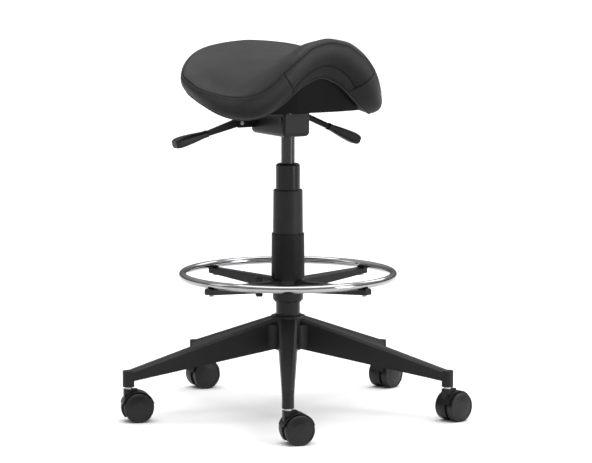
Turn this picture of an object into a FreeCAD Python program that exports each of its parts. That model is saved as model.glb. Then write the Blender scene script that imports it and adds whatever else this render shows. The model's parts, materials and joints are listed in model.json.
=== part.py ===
# Drafting stool with a saddle seat: five-leg base on twin-wheel casters, gas lift,
# height-adjustable foot ring, and a lever-locked forward tilt under the seat.
# Millimetres, +Z up, origin on the floor under the column, the sitter faces -Y.
import FreeCAD, Part
import math
import os
import Sketcher
from FreeCAD import Placement, Rotation, Vector

doc = FreeCAD.newDocument("drafting_stool")
sheet = doc.addObject("Spreadsheet::Sheet", "sizes")

# Driving sizes: name, value, what it is.
SIZES = [
    ("fit_gap", 0.05, "radial room of a running or locating fit"),
    ("seat_gap", 0.3, "room between pieces that only lie close"),
    ("leg_count", 5, "legs of the base"),
    ("base_turn", 240, "direction of the first leg, degrees"),
    ("stem_circle", 341, "radius from the column to a caster stem"),
    ("hub_radius", 37.5, "base hub, outside"),
    ("hub_top", 203, "top of the base hub"),
    ("hub_bottom", 137, "underside of the base hub"),
    ("collar_rise", 4, "dust collar above the hub"),
    ("collar_wall", 2, "wall of the dust collar"),
    ("leg_root", 30, "radius where a leg starts in the hub"),
    ("leg_root_width", 40, "leg width at the hub"),
    ("leg_root_drop", 1.5, "leg top below the hub top"),
    ("leg_tip_width", 22, "leg width at the caster"),
    ("leg_tip_depth", 22, "leg depth at the caster"),
    ("leg_bevel", 5, "bevel along a leg's top edges"),
    ("hub_fillet", 18, "rounding between neighbouring legs at the hub"),
    ("leg_wall", 4, "wall of the hollow legs"),
    ("tip_top", 105, "top of a leg tip"),
    ("tip_bottom", 72, "underside of a leg tip"),
    ("tip_radius", 12, "round boss at a leg tip"),
    ("stem_radius", 5.5, "caster stem"),
    ("stem_depth", 26, "stem length inside the leg"),
    ("socket_wall", 1.5, "steel sleeve round the stem"),
    ("stem_flange", 7.5, "flange of the stem"),
    ("flange_height", 4, "thickness of the stem flange"),
    ("wheel_radius", 30, "caster wheel"),
    ("wheel_width", 18.5, "one caster wheel"),
    ("wheel_face", 3, "web set in from a wheel's inner face"),
    ("yoke_width", 14, "caster body between its wheels"),
    ("wheel_side_gap", 0.75, "room between wheel and caster body"),
    ("trail", 18, "axle behind the stem"),
    ("axle_radius", 4, "caster axle"),
    ("axle_grip", 13, "axle length inside each wheel"),
    ("hood_gap", 1, "room between wheel and hood"),
    ("hood_wall", 2.4, "hood thickness"),
    ("hood_width", 34, "hood over both wheels"),
    ("boss_radius", 10, "stem boss of the caster body"),
    ("tube_radius", 25, "column tube, outside"),
    ("tube_wall", 2, "column tube wall"),
    ("tube_top", 514, "top of the column tube"),
    ("tube_bottom", 131, "lower end of the column tube"),
    ("plate_thick", 3, "end plate of the column tube"),
    ("guide_length", 84, "guide bush inside the tube"),
    ("guide_flange", 3.5, "flange of the guide bush above the tube"),
    ("cyl_radius", 14, "pressure cylinder"),
    ("cyl_wall", 2, "pressure cylinder wall"),
    ("cyl_bottom", 232, "lower end of the pressure cylinder"),
    ("cyl_end", 12, "end wall of the pressure cylinder"),
    ("cyl_top", 608, "upper end of the pressure cylinder"),
    ("taper_drop", 0.7, "radius lost over the cylinder's top taper"),
    ("rod_radius", 5, "piston rod"),
    ("piston_bottom", 470, "underside of the piston"),
    ("piston_height", 20, "piston"),
    ("bearing_radius", 17, "thrust bearing"),
    ("washer_thick", 2, "bearing washer"),
    ("ball_radius", 2.2, "bearing ball"),
    ("ball_count", 9, "balls in the bearing"),
    ("rod_collar", 3, "collar of the rod on the bearing"),
    ("buffer_height", 18, "rubber buffer on the rod"),
    ("buffer_radius", 16, "rubber buffer"),
    ("clip_radius", 9, "retaining clip"),
    ("clip_thick", 2, "retaining clip"),
    ("button_radius", 4, "release button"),
    ("button_rise", 4.5, "release button above the cylinder"),
    ("button_length", 14, "release button"),
    ("ring_turn", 150, "direction of the clamp knob, degrees"),
    ("ring_radius", 217.5, "foot ring, middle of its tube"),
    ("ring_tube", 8, "foot ring tube, radius"),
    ("ring_wall", 1.5, "foot ring tube wall"),
    ("ring_level", 288, "foot ring, middle of its tube above the floor"),
    ("ring_sink", 1.5, "ring let into the spokes"),
    ("spoke_count", 4, "spokes of the foot ring"),
    ("spoke_root_width", 24, "spoke width at its hub"),
    ("spoke_root_depth", 25, "spoke depth at its hub"),
    ("spoke_tip_width", 17, "spoke width at the ring"),
    ("spoke_tip_depth", 13, "spoke depth at the ring"),
    ("spoke_bevel", 3, "bevel along a spoke's top edges"),
    ("spoke_over", 11, "spoke past the middle of the ring tube"),
    ("spider_radius", 33, "hub of the foot ring"),
    ("spider_top", 279, "top of the foot ring hub"),
    ("spider_bottom", 236, "underside of the foot ring hub"),
    ("lip_height", 4, "lip under the foot ring hub"),
    ("bush_wall", 2.5, "bush between hub and column"),
    ("spigot_depth", 9, "sleeve let into the hub"),
    ("spigot_wall", 2.2, "spigot of the lower sleeve"),
    ("lower_sleeve_top", 374, "top of the lower sleeve"),
    ("lower_sleeve_radius", 34.5, "lower sleeve at its foot"),
    ("upper_sleeve_top", 464, "top of the upper sleeve"),
    ("upper_sleeve_radius", 31, "upper sleeve at its foot"),
    ("sleeve_draft", 0.8, "radius a sleeve loses going up"),
    ("sleeve_wall", 2.5, "sleeve walls"),
    ("ledge_level", 300, "ledge that carries the upper sleeve"),
    ("ring_screw", 2.5, "ring screw shank radius"),
    ("screw_head", 4.5, "ring screw head radius"),
    ("head_height", 3, "ring screw head"),
    ("screw_reach", 4, "ring screw inside the ring tube"),
    ("knob_level", 264, "clamp knob above the floor"),
    ("knob_radius", 23, "clamp knob"),
    ("knob_thick", 18, "clamp knob"),
    ("knob_reach", 49, "column axis to the knob's inner face"),
    ("flute_radius", 2, "flutes round the knob"),
    ("flute_count", 18, "flutes round the knob"),
    ("stud_radius", 4, "stud of the clamp knob"),
    ("house_width", 62, "tilt housing, across"),
    ("house_front", 37, "tilt housing ahead of the column"),
    ("house_rear", 99, "tilt housing behind the column"),
    ("house_bottom", 574, "underside of the tilt housing"),
    ("house_top", 621.5, "top of the tilt housing"),
    ("house_wall", 3, "tilt housing walls"),
    ("house_round", 9, "rounding of the housing's lower edges"),
    ("house_corner", 5, "rounding of the housing's corners"),
    ("socket_radius", 17, "taper socket, outside"),
    ("plate_bottom", 627, "underside of the seat plate"),
    ("plate_height", 3.5, "seat plate thickness"),
    ("plate_width", 76, "seat plate, across"),
    ("plate_front", 50, "seat plate ahead of the column"),
    ("plate_rear", 102, "seat plate behind the column"),
    ("ear_inset", 5, "ear clear of the housing's inner wall"),
    ("ear_thick", 3, "ear of the seat plate"),
    ("ear_length", 20, "ear of the seat plate, front to back"),
    ("pivot_ahead", 25, "tilt pivot ahead of the column"),
    ("pivot_level", 609, "tilt pivot above the floor"),
    ("pivot_radius", 4, "tilt pivot pin"),
    ("pin_head", 6, "head of the tilt pivot pin"),
    ("pin_head_thick", 2, "head of the tilt pivot pin"),
    ("stop_width", 40, "rubber stop under the seat plate"),
    ("bolt_across", 22, "seat bolts from the middle"),
    ("bolt_front", 44, "front seat bolts ahead of the column"),
    ("bolt_rear", 78, "rear seat bolts behind the column"),
    ("bolt_radius", 3, "seat bolt shank"),
    ("bolt_head", 5, "seat bolt head radius"),
    ("bolt_head_height", 4, "seat bolt head"),
    ("bolt_reach", 15, "seat bolt inside the pan"),
    ("tilt_lever_back", 85, "tilt lever behind the column"),
    ("rivet_out", 64, "lever rivet from the middle"),
    ("rivet_level", 597, "lever rivet above the floor"),
    ("rivet_radius", 2.5, "lever rivet shank"),
    ("rivet_head", 4.2, "lever rivet head"),
    ("rivet_head_thick", 1.6, "lever rivet head"),
    ("cheek_thick", 2.5, "cheek of the lever bracket"),
    ("cheek_height", 19, "cheek of the lever bracket"),
    ("cheek_past", 9, "cheek past the rivet"),
    ("shank_thick", 8, "tilt lever shank"),
    ("shank_depth", 17, "tilt lever shank at the rivet"),
    ("shank_end_depth", 11, "tilt lever shank at the paddle"),
    ("tilt_slope", 13.5, "tilt lever below level, degrees"),
    ("tilt_grip_start", 143, "tilt paddle's inner end from the middle"),
    ("tilt_grip_end", 218, "tilt paddle's outer end from the middle"),
    ("height_pivot_out", 25, "height lever pivot from the middle"),
    ("height_pivot_level", 616, "height lever pivot above the floor"),
    ("trunnion_radius", 3, "height lever trunnion"),
    ("lug_gap", 8.5, "half the space between the pivot lugs"),
    ("lug_thick", 3, "pivot lug"),
    ("lug_width", 10, "pivot lug, across"),
    ("tongue_width", 12, "height lever tongue"),
    ("tongue_thick", 4, "height lever tongue"),
    ("tongue_past", 8, "tongue past the column axis"),
    ("height_rod", 6, "height lever rod radius"),
    ("height_slope", 24, "height lever below level, degrees"),
    ("height_bend_out", 36, "height lever bend from the middle"),
    ("height_grip_start", 96, "height paddle's inner end from the middle"),
    ("height_grip_end", 168, "height paddle's outer end from the middle"),
    ("grip_width", 26, "lever paddle, front to back"),
    ("grip_depth", 22, "lever paddle, top to bottom"),
    ("grip_neck", 18, "lever paddle at its neck"),
    ("grip_bore", 14, "lever length inside its paddle"),
    ("seat_width", 394, "seat, across"),
    ("seat_length", 344, "seat, front to back"),
    ("seat_back", 8, "middle of the seat behind the column"),
    ("seat_rise", 151.5, "pommel seam above the seat plate"),
    ("pan_inset", 9, "pan set in from the cushion's lower edge"),
    ("pan_wall", 5, "pan wall"),
    ("pan_flat", 90, "flat pan floor behind the column"),
    ("pan_reach", 106, "half the pan's width"),
    ("pan_boss", 8, "bolt boss in the pan"),
]
for row, (alias, number, note) in enumerate(SIZES, 1):
    sheet.set(f"A{row}", alias)
    sheet.set(f"B{row}", str(number))
    sheet.set(f"C{row}", note)
    sheet.setAlias(f"B{row}", alias)
doc.recompute()


class Dim:
    """A size with its number and the expression that ties it to the sheet."""

    def __init__(self, value, text):
        self.value, self.text = value, text

    @staticmethod
    def of(other):
        return other if isinstance(other, Dim) else Dim(float(other), repr(float(other)))

    def _with(self, other, sign, value):
        return Dim(value, f"({self.text} {sign} {other.text})")

    def __add__(self, other):
        other = Dim.of(other)
        return self._with(other, "+", self.value + other.value)

    def __sub__(self, other):
        other = Dim.of(other)
        return self._with(other, "-", self.value - other.value)

    def __mul__(self, other):
        other = Dim.of(other)
        return self._with(other, "*", self.value * other.value)

    def __truediv__(self, other):
        other = Dim.of(other)
        return self._with(other, "/", self.value / other.value)

    def __neg__(self):
        return Dim(-self.value, f"(0 - {self.text})")

    __radd__ = __add__
    __rmul__ = __mul__

    def __rsub__(self, other):
        return Dim.of(other) - self

    def __float__(self):
        return float(self.value)


class Sizes:
    """Every size of the sheet as an attribute."""


size = Sizes()
for alias, number, note in SIZES:
    setattr(size, alias, Dim(float(number), f"sizes.{alias}"))
s = size
nodes = {}


def keep(obj, name):
    obj.Label = name
    nodes[name] = obj
    return obj


def bind(obj, prop, amount):
    amount = Dim.of(amount)
    if "sizes." in amount.text:
        obj.setExpression(prop, amount.text)
    else:
        setattr(obj, prop, amount.value)


def new_body(name):
    return doc.addObject("PartDesign::Body", name)


def plane_of(body, role):
    return next(f for f in body.Origin.OriginFeatures if f.Role == role)


def new_sketch(body, role, offset=0):
    sketch = body.newObject("Sketcher::SketchObject", body.Name + "_sketch")
    sketch.AttachmentSupport = [(plane_of(body, role), "")]
    sketch.MapMode = "FlatFace"
    offset = Dim.of(offset)
    sketch.AttachmentOffset = Placement(Vector(0, 0, offset.value), Rotation())
    if "sizes." in offset.text:
        sketch.setExpression(".AttachmentOffset.Base.z", offset.text)
    return sketch


def pin_point(sketch, geo, pos, x, y):
    for kind, amount in (("DistanceX", Dim.of(x)), ("DistanceY", Dim.of(y))):
        index = sketch.addConstraint(Sketcher.Constraint(kind, -1, 1, geo, pos, amount.value))
        if "sizes." in amount.text:
            sketch.setExpression(f"Constraints[{index}]", amount.text)


def polygon(sketch, points):
    """Closed line outline whose corners are tied to the sheet."""
    spots = [Vector(float(Dim.of(x)), float(Dim.of(y)), 0) for x, y in points]
    first = sketch.GeometryCount
    count = len(spots)
    for i in range(count):
        sketch.addGeometry(Part.LineSegment(spots[i], spots[(i + 1) % count]))
    for i in range(count):
        sketch.addConstraint(
            Sketcher.Constraint("Coincident", first + i, 2, first + (i + 1) % count, 1))
    for i, (x, y) in enumerate(points):
        pin_point(sketch, first + i, 1, x, y)
    return sketch


def circle(sketch, x, y, radius):
    radius = Dim.of(radius)
    where = Vector(float(Dim.of(x)), float(Dim.of(y)), 0)
    geo = sketch.addGeometry(Part.Circle(where, Vector(0, 0, 1), radius.value))
    pin_point(sketch, geo, 3, x, y)
    index = sketch.addConstraint(Sketcher.Constraint("Radius", geo, radius.value))
    if "sizes." in radius.text:
        sketch.setExpression(f"Constraints[{index}]", radius.text)
    return sketch


def rectangle(sketch, x0, x1, y0, y1):
    return polygon(sketch, [(x0, y0), (x1, y0), (x1, y1), (x0, y1)])


def extrude(body, kind, sketch, length, both=False, flip=False):
    feature = body.newObject(f"PartDesign::{kind}", f"{body.Name}_{kind}")
    feature.Profile = sketch
    bind(feature, "Length", length)
    feature.Midplane = both
    feature.Reversed = flip
    return feature


def revolve(body, kind, sketch):
    feature = body.newObject(f"PartDesign::{kind}", f"{body.Name}_{kind}")
    feature.Profile = sketch
    feature.ReferenceAxis = (sketch, ["V_Axis"])
    feature.Angle = 360
    return feature


def turned(name, points, place=None):
    """A body of revolution about its own Z from a radius and height outline."""
    body = new_body(name)
    revolve(body, "Revolution", polygon(new_sketch(body, "XZ_Plane"), points))
    if place:
        body.Placement = place
    return body


def loft(body, kind, sketches):
    feature = body.newObject(f"PartDesign::{kind}", f"{body.Name}_{kind}")
    feature.Profile = sketches[0]
    feature.Sections = sketches[1:]
    feature.Ruled = True
    return feature


def around(body, features, count):
    """Repeat features about the body's own Z."""
    doc.recompute()
    pattern = body.newObject("PartDesign::PolarPattern", body.Name + "_pattern")
    pattern.Originals = features
    pattern.Axis = (next(f for f in body.Origin.OriginFeatures if f.Role == "Z_Axis"), [""])
    pattern.Angle = 360
    bind(pattern, "Occurrences", count)
    body.Tip = pattern
    return pattern


def turn_z(degrees, where=Vector()):
    return Placement(where, Rotation(Vector(0, 0, 1), float(degrees)))


def rod(name, radius, length, place):
    """Plain cylinder from its own origin along its own Z."""
    obj = doc.addObject("Part::Cylinder", name)
    bind(obj, "Radius", radius)
    bind(obj, "Height", length)
    obj.Placement = place
    return obj


def box(name, x0, x1, y0, y1, z0, z1):
    """Upright box between two corners."""
    obj = doc.addObject("Part::Box", name)
    for prop, low, high in (("Length", x0, x1), ("Width", y0, y1), ("Height", z0, z1)):
        bind(obj, prop, Dim.of(high) - low)
    obj.Placement.Base = Vector(float(Dim.of(x0)), float(Dim.of(y0)), float(Dim.of(z0)))
    return obj


def joined(name, *pieces):
    obj = doc.addObject("Part::MultiFuse", name)
    obj.Shapes = list(pieces)
    obj.Refine = True
    return obj


def cut(name, base, tool):
    obj = doc.addObject("Part::Cut", name)
    obj.Base, obj.Tool = base, tool
    return obj


def shared(name, base, tool):
    obj = doc.addObject("Part::MultiCommon", name)
    obj.Shapes = [base, tool]
    return obj


def group(name, pieces):
    obj = doc.addObject("Part::Compound", name)
    obj.Links = list(pieces)
    return obj


ALONG_X = Rotation(Vector(0, 1, 0), 90)
ALONG_Y = Rotation(Vector(1, 0, 0), -90)


def polar(radius, degrees, level=0):
    angle = math.radians(float(degrees))
    return Vector(float(radius) * math.cos(angle), float(radius) * math.sin(angle), float(level))


# Base: hub, five hollow tapering legs and their tip bosses, as one moulding.
def beam(body, where, width, low, high, bevel, trim=0):
    """Upright leg section with bevelled top edges, square to the leg's run."""
    half = width / 2 - trim
    return polygon(new_sketch(body, "YZ_Plane", where), [
        (-half, low), (half, low), (half, high - bevel), (half - bevel, high),
        (bevel - half, high), (-half, high - bevel)])


leg_angles = [float(s.base_turn) + 360 / float(s.leg_count) * i for i in range(int(float(s.leg_count)))]
hub_bore = s.tube_radius + s.fit_gap
socket_outer = s.stem_radius + s.fit_gap + s.socket_wall
base = new_body("star_base")
revolve(base, "Revolution", polygon(new_sketch(base, "XZ_Plane"), [
    (hub_bore, s.hub_bottom), (s.hub_radius - 3, s.hub_bottom), (s.hub_radius, s.hub_bottom + 3),
    (s.hub_radius, s.hub_top - 3), (s.hub_radius - 3, s.hub_top), (hub_bore, s.hub_top)]))
leg_low = s.tip_top - s.leg_tip_depth
leg = loft(base, "AdditiveLoft", [
    beam(base, s.leg_root, s.leg_root_width, s.hub_bottom, s.hub_top - s.leg_root_drop, s.leg_bevel),
    beam(base, s.stem_circle, s.leg_tip_width, leg_low, s.tip_top, s.leg_bevel)])
tip = extrude(base, "Pad", circle(
    new_sketch(base, "XY_Plane", s.tip_bottom), s.stem_circle, 0, s.tip_radius), s.tip_top - s.tip_bottom)


def web_sketch(body, level):
    """Corner between two legs: two lines inside the legs and one arc that runs into both leg sides."""
    turn = math.pi / float(s.leg_count)
    taper = (s.leg_root_width - s.leg_tip_width) / 2 / (s.stem_circle - s.leg_root)
    lean = math.hypot(1, float(taper))
    out = ((s.hub_fillet - 0.1) * lean + s.leg_root_width / 2 + taper * s.leg_root) / (
        taper * math.cos(turn) + math.sin(turn))
    middle = (out * math.cos(turn), out * math.sin(turn))
    foot = (middle[0] - s.hub_fillet * taper / lean, middle[1] - s.hub_fillet / lean)
    twin = (foot[0] * math.cos(2 * turn) + foot[1] * math.sin(2 * turn),
            foot[0] * math.sin(2 * turn) - foot[1] * math.cos(2 * turn))
    inner = (s.leg_root * math.cos(turn), s.leg_root * math.sin(turn))
    deep = out - s.hub_fillet
    crest = (deep * math.cos(turn), deep * math.sin(turn))
    at = {name: Vector(float(x), float(y), 0) for name, (x, y) in (
        ("foot", foot), ("twin", twin), ("inner", inner), ("crest", crest))}
    sketch = new_sketch(body, "XY_Plane", level)
    sketch.addGeometry(Part.LineSegment(at["inner"], at["foot"]))
    sketch.addGeometry(Part.Arc(at["twin"], at["crest"], at["foot"]))
    sketch.addGeometry(Part.LineSegment(at["twin"], at["inner"]))
    for ends in ((0, 2, 1, 2), (1, 1, 2, 1), (2, 2, 0, 1)):
        sketch.addConstraint(Sketcher.Constraint("Coincident", *ends))
    pin_point(sketch, 0, 1, *inner)
    pin_point(sketch, 1, 3, *middle)
    radius = sketch.addConstraint(Sketcher.Constraint("Radius", 1, float(s.hub_fillet)))
    sketch.setExpression(f"Constraints[{radius}]", s.hub_fillet.text)
    for kind, pos, amount in (("DistanceX", 2, foot[0]), ("DistanceY", 1, twin[1])):
        index = sketch.addConstraint(Sketcher.Constraint(kind, -1, 1, 1, pos, float(amount)))
        sketch.setExpression(f"Constraints[{index}]", amount.text)
    return sketch


def along(root, end, part):
    return root + (end - root) * part


web_top = along(s.hub_top - s.leg_root_drop, s.tip_top, 0.1) - s.leg_bevel
web = extrude(base, "Pad", web_sketch(base, s.hub_bottom), web_top - s.hub_bottom)
hollow_end = s.stem_circle - s.tip_radius - s.leg_wall
share = (hollow_end - s.leg_root) / (s.stem_circle - s.leg_root)
hollow_start = s.hub_radius + s.leg_wall
start_share = (hollow_start - s.leg_root) / (s.stem_circle - s.leg_root)


def hollow(where, part):
    """Channel section inside the leg at a share of its run."""
    width = along(s.leg_root_width, s.leg_tip_width, part)
    high = along(s.hub_top - s.leg_root_drop, s.tip_top, part) - s.leg_wall
    low = along(s.hub_bottom, leg_low, part)
    half = width / 2 - s.leg_wall
    return polygon(new_sketch(base, "YZ_Plane", where), [
        (-half, low - 1), (half, low - 1), (half, high - s.leg_bevel), (half - s.leg_bevel, high),
        (s.leg_bevel - half, high), (-half, high - s.leg_bevel)])


channel = loft(base, "SubtractiveLoft", [hollow(hollow_start, start_share), hollow(hollow_end, share)])
bore = extrude(base, "Pocket", circle(
    new_sketch(base, "XY_Plane", s.tip_bottom), s.stem_circle, 0, socket_outer + s.fit_gap),
    s.stem_depth + s.fit_gap, flip=True)
around(base, [leg, tip, web, channel, bore], s.leg_count)
# The legs' inner ends stop at the column's bore.
clear = rod("hub_clear", hub_bore, s.hub_top - s.hub_bottom + 20,
            Placement(Vector(0, 0, float(s.hub_bottom) - 10), Rotation()))
star = keep(cut("star_base_bored", base, clear), "star_base")
star.Placement = turn_z(s.base_turn)

keep(turned("hub_collar", [
    (s.tube_radius + s.fit_gap, s.hub_top), (s.tube_radius + s.collar_wall, s.hub_top),
    (s.tube_radius + s.collar_wall, s.hub_top + s.collar_rise - 1),
    (s.tube_radius + s.collar_wall - 1, s.hub_top + s.collar_rise),
    (s.tube_radius + s.fit_gap, s.hub_top + s.collar_rise)]), "hub_collar")

sockets = []
for i, angle in enumerate(leg_angles, 1):
    sockets.append(turned(f"caster_socket_{i}", [
        (s.stem_radius + s.fit_gap, s.tip_bottom), (socket_outer, s.tip_bottom),
        (socket_outer, s.tip_bottom + s.stem_depth), (0, s.tip_bottom + s.stem_depth),
        (0, s.tip_bottom + s.stem_depth - s.socket_wall),
        (s.stem_radius + s.fit_gap, s.tip_bottom + s.stem_depth - s.socket_wall)],
        Placement(polar(s.stem_circle, angle), Rotation())))
keep(group("caster_socket_set", sockets), "caster_sockets")

# Casters stand as photographed: each trails its own way, degrees from the line of sight.
CASTER_YAW = [18, 41, 50, 28, 12]
yoke_top = s.tip_bottom - s.seat_gap - s.flange_height
wheel_inner = s.yoke_width / 2 + s.wheel_side_gap
hood_inner = s.wheel_radius + s.hood_gap
hood_outer = hood_inner + s.hood_wall


def caster(index, angle, yaw):
    """Stem, body, axle and two wheels about the stem's own foot point."""
    heading = float(s.base_turn) + 90 + yaw
    foot = turn_z(heading, polar(s.stem_circle, angle))
    axle_at = Vector(float(s.trail), 0, float(s.wheel_radius))
    stem_foot = s.wheel_radius + s.axle_radius + 6
    stem = turned(f"caster_{index}_stem", [
        (0, stem_foot), (s.stem_radius, stem_foot), (s.stem_radius, yoke_top),
        (s.stem_flange, yoke_top), (s.stem_flange, yoke_top + s.flange_height),
        (s.stem_radius, yoke_top + s.flange_height),
        (s.stem_radius, s.tip_bottom + s.stem_depth - s.socket_wall - 2),
        (s.stem_radius - 1.5, s.tip_bottom + s.stem_depth - s.socket_wall - s.seat_gap),
        (0, s.tip_bottom + s.stem_depth - s.socket_wall - s.seat_gap)], foot)
    keep(stem, f"caster_{index}_stem")
    side = Placement(axle_at - Vector(0, float(s.yoke_width) / 2, 0), ALONG_Y)
    wide = Placement(axle_at - Vector(0, float(s.hood_width) / 2, 0), ALONG_Y)
    tag = f"caster_{index}_"
    low = s.wheel_radius * 0.35
    plate = shared(tag + "plate", rod(tag + "disc", hood_outer, s.yoke_width, side),
                   box(tag + "above", s.trail - hood_outer, s.trail + hood_outer, -s.yoke_width,
                       s.yoke_width, low, s.wheel_radius + hood_outer))
    shell = cut(tag + "shell", rod(tag + "hood_out", hood_outer, s.hood_width, wide),
                rod(tag + "hood_in", hood_inner, s.hood_width, wide))
    hood = shared(tag + "hood", shell, box(
        tag + "hood_zone", s.trail - hood_outer, s.trail + hood_outer, -s.hood_width, s.hood_width,
        s.wheel_radius + 8, s.wheel_radius + hood_outer))
    boss = rod(tag + "boss", s.boss_radius, yoke_top - s.wheel_radius - hood_inner * 0.86, Placement(
        Vector(0, 0, float(s.wheel_radius + hood_inner * 0.86)), Rotation()))
    neck = box(tag + "neck", -s.boss_radius, s.trail, -s.yoke_width / 2, s.yoke_width / 2,
               s.wheel_radius, yoke_top)
    stem_hole = rod(tag + "stem_hole", s.stem_radius + s.fit_gap, 60,
                    Placement(Vector(0, 0, float(stem_foot) - float(s.fit_gap)), Rotation()))
    axle_hole = rod(tag + "axle_hole", s.axle_radius + s.fit_gap, s.yoke_width * 2,
                    Placement(axle_at - Vector(0, float(s.yoke_width), 0), ALONG_Y))
    yoke = cut(tag + "yoke_cut", joined(tag + "yoke_solid", plate, hood, boss, neck),
               joined(tag + "yoke_holes", stem_hole, axle_hole))
    yoke.Placement = foot
    keep(yoke, tag + "yoke")
    reach = wheel_inner + s.axle_grip
    axle = rod(tag + "axle", s.axle_radius, reach * 2, foot.multiply(
        Placement(axle_at - Vector(0, float(reach), 0), ALONG_Y)))
    keep(axle, tag + "axle")
    bore_r, rim = s.axle_radius + s.fit_gap, s.wheel_radius
    depth, wide_w = s.axle_grip + s.seat_gap, s.wheel_width
    outline = [
        (0, depth), (bore_r, depth), (bore_r, 0), (bore_r + 5, 0), (bore_r + 5, s.wheel_face),
        (rim - 5, s.wheel_face), (rim - 5, 0), (rim - 1.5, 0), (rim, 1.5), (rim, wide_w - 3),
        (rim - 1.5, wide_w - 1.5), (rim - 3.5, wide_w - 1.5), (rim - 4.5, wide_w - 2.5),
        (rim * 0.45, wide_w - 0.6), (0, wide_w)]
    for letter, flip in (("a", -1), ("b", 1)):
        face = Placement(axle_at + Vector(0, flip * float(wheel_inner), 0),
                         Rotation(Vector(1, 0, 0), -90 * flip))
        keep(turned(f"caster_{index}_wheel_{letter}", outline, foot.multiply(face)),
             f"caster_{index}_wheel_{letter}")


for i, (angle, yaw) in enumerate(zip(leg_angles, CASTER_YAW), 1):
    caster(i, angle, yaw)

# Gas lift: outer tube with guide bush; rod on a thrust bearing; cylinder that slides on its piston.
tube_inner = s.tube_radius - s.tube_wall
floor_top = s.tube_bottom + s.plate_thick
rod_hole = s.rod_radius + s.seat_gap
keep(turned("column_tube", [
    (rod_hole, s.tube_bottom), (s.tube_radius, s.tube_bottom), (s.tube_radius, s.tube_top),
    (tube_inner, s.tube_top), (tube_inner, floor_top), (rod_hole, floor_top)]), "column_tube")
cyl_room = s.cyl_radius + s.fit_gap
keep(turned("guide_bush", [
    (cyl_room, s.tube_top - s.guide_length), (tube_inner - s.fit_gap, s.tube_top - s.guide_length),
    (tube_inner - s.fit_gap, s.tube_top), (s.tube_radius - 0.3, s.tube_top),
    (s.tube_radius - s.guide_flange, s.tube_top + s.guide_flange),
    (cyl_room, s.tube_top + s.guide_flange)]), "guide_bush")
washer_top = floor_top + s.washer_thick
ball_level = washer_top + s.ball_radius
upper_washer = washer_top + s.ball_radius * 2
bearing_top = upper_washer + s.washer_thick
ball_circle = (s.bearing_radius + s.rod_radius) / 2
balls = []
for i in range(int(float(s.ball_count))):
    ball = doc.addObject("Part::Sphere", f"bearing_ball_{i + 1}")
    bind(ball, "Radius", s.ball_radius)
    ball.Placement.Base = polar(ball_circle, 360 / float(s.ball_count) * i, ball_level)
    balls.append(ball)
washers = [turned(f"bearing_washer_{letter}", [
    (rod_hole, low), (s.bearing_radius, low), (s.bearing_radius, low + s.washer_thick),
    (rod_hole, low + s.washer_thick)]) for letter, low in (("lower", floor_top), ("upper", upper_washer))]
keep(group("thrust_bearing_set", washers + balls), "thrust_bearing")
collar_top = bearing_top + s.rod_collar
clip_top = s.tube_bottom - s.fit_gap
keep(turned("piston_rod", [
    (0, clip_top - s.clip_thick * 2), (s.rod_radius, clip_top - s.clip_thick * 2),
    (s.rod_radius, clip_top - s.clip_thick), (s.rod_radius - 1, clip_top - s.clip_thick),
    (s.rod_radius - 1, clip_top), (s.rod_radius, clip_top), (s.rod_radius, bearing_top + s.fit_gap),
    (s.bearing_radius - 3, bearing_top + s.fit_gap), (s.bearing_radius - 3, collar_top),
    (s.rod_radius, collar_top), (s.rod_radius, s.piston_bottom), (s.rod_radius - 1, s.piston_bottom),
    (s.rod_radius - 1, s.piston_bottom + s.piston_height), (0, s.piston_bottom + s.piston_height)]),
    "piston_rod")
keep(turned("retaining_clip", [
    (s.rod_radius - 1 + s.fit_gap, clip_top - s.clip_thick + s.fit_gap),
    (s.clip_radius, clip_top - s.clip_thick + s.fit_gap), (s.clip_radius, clip_top - s.fit_gap),
    (s.rod_radius - 1 + s.fit_gap, clip_top - s.fit_gap)]), "retaining_clip")
keep(turned("rubber_buffer", [
    (s.rod_radius + s.seat_gap, collar_top), (s.buffer_radius, collar_top),
    (s.buffer_radius, collar_top + s.buffer_height - 4),
    (s.buffer_radius - 4, collar_top + s.buffer_height),
    (s.rod_radius + s.seat_gap, collar_top + s.buffer_height)]), "rubber_buffer")
cyl_inner = s.cyl_radius - s.cyl_wall
keep(turned("piston", [
    (s.rod_radius - 1 + s.fit_gap, s.piston_bottom + s.fit_gap),
    (cyl_inner - s.fit_gap, s.piston_bottom + s.fit_gap),
    (cyl_inner - s.fit_gap, s.piston_bottom + s.piston_height),
    (s.rod_radius - 1 + s.fit_gap, s.piston_bottom + s.piston_height)]), "piston")
taper_top = s.cyl_radius - s.taper_drop
button_hole = s.button_radius + s.fit_gap
button_base = s.cyl_top + s.button_rise - s.button_length
keep(turned("pressure_cylinder", [
    (s.rod_radius + s.fit_gap, s.cyl_bottom), (s.cyl_radius - 1, s.cyl_bottom),
    (s.cyl_radius, s.cyl_bottom + 1), (s.cyl_radius, s.house_bottom), (taper_top, s.cyl_top),
    (button_hole, s.cyl_top), (button_hole, button_base - 8), (0, button_base - 8),
    (0, button_base - 12), (cyl_inner, s.house_bottom - s.cyl_end), (cyl_inner, s.cyl_bottom + s.cyl_end),
    (s.rod_radius + s.fit_gap, s.cyl_bottom + s.cyl_end)]), "pressure_cylinder")
keep(turned("release_button", [
    (0, button_base), (s.button_radius, button_base), (s.button_radius, s.cyl_top + s.button_rise - 1.5),
    (s.button_radius - 1.5, s.cyl_top + s.button_rise), (0, s.cyl_top + s.button_rise)]), "release_button")

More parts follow.
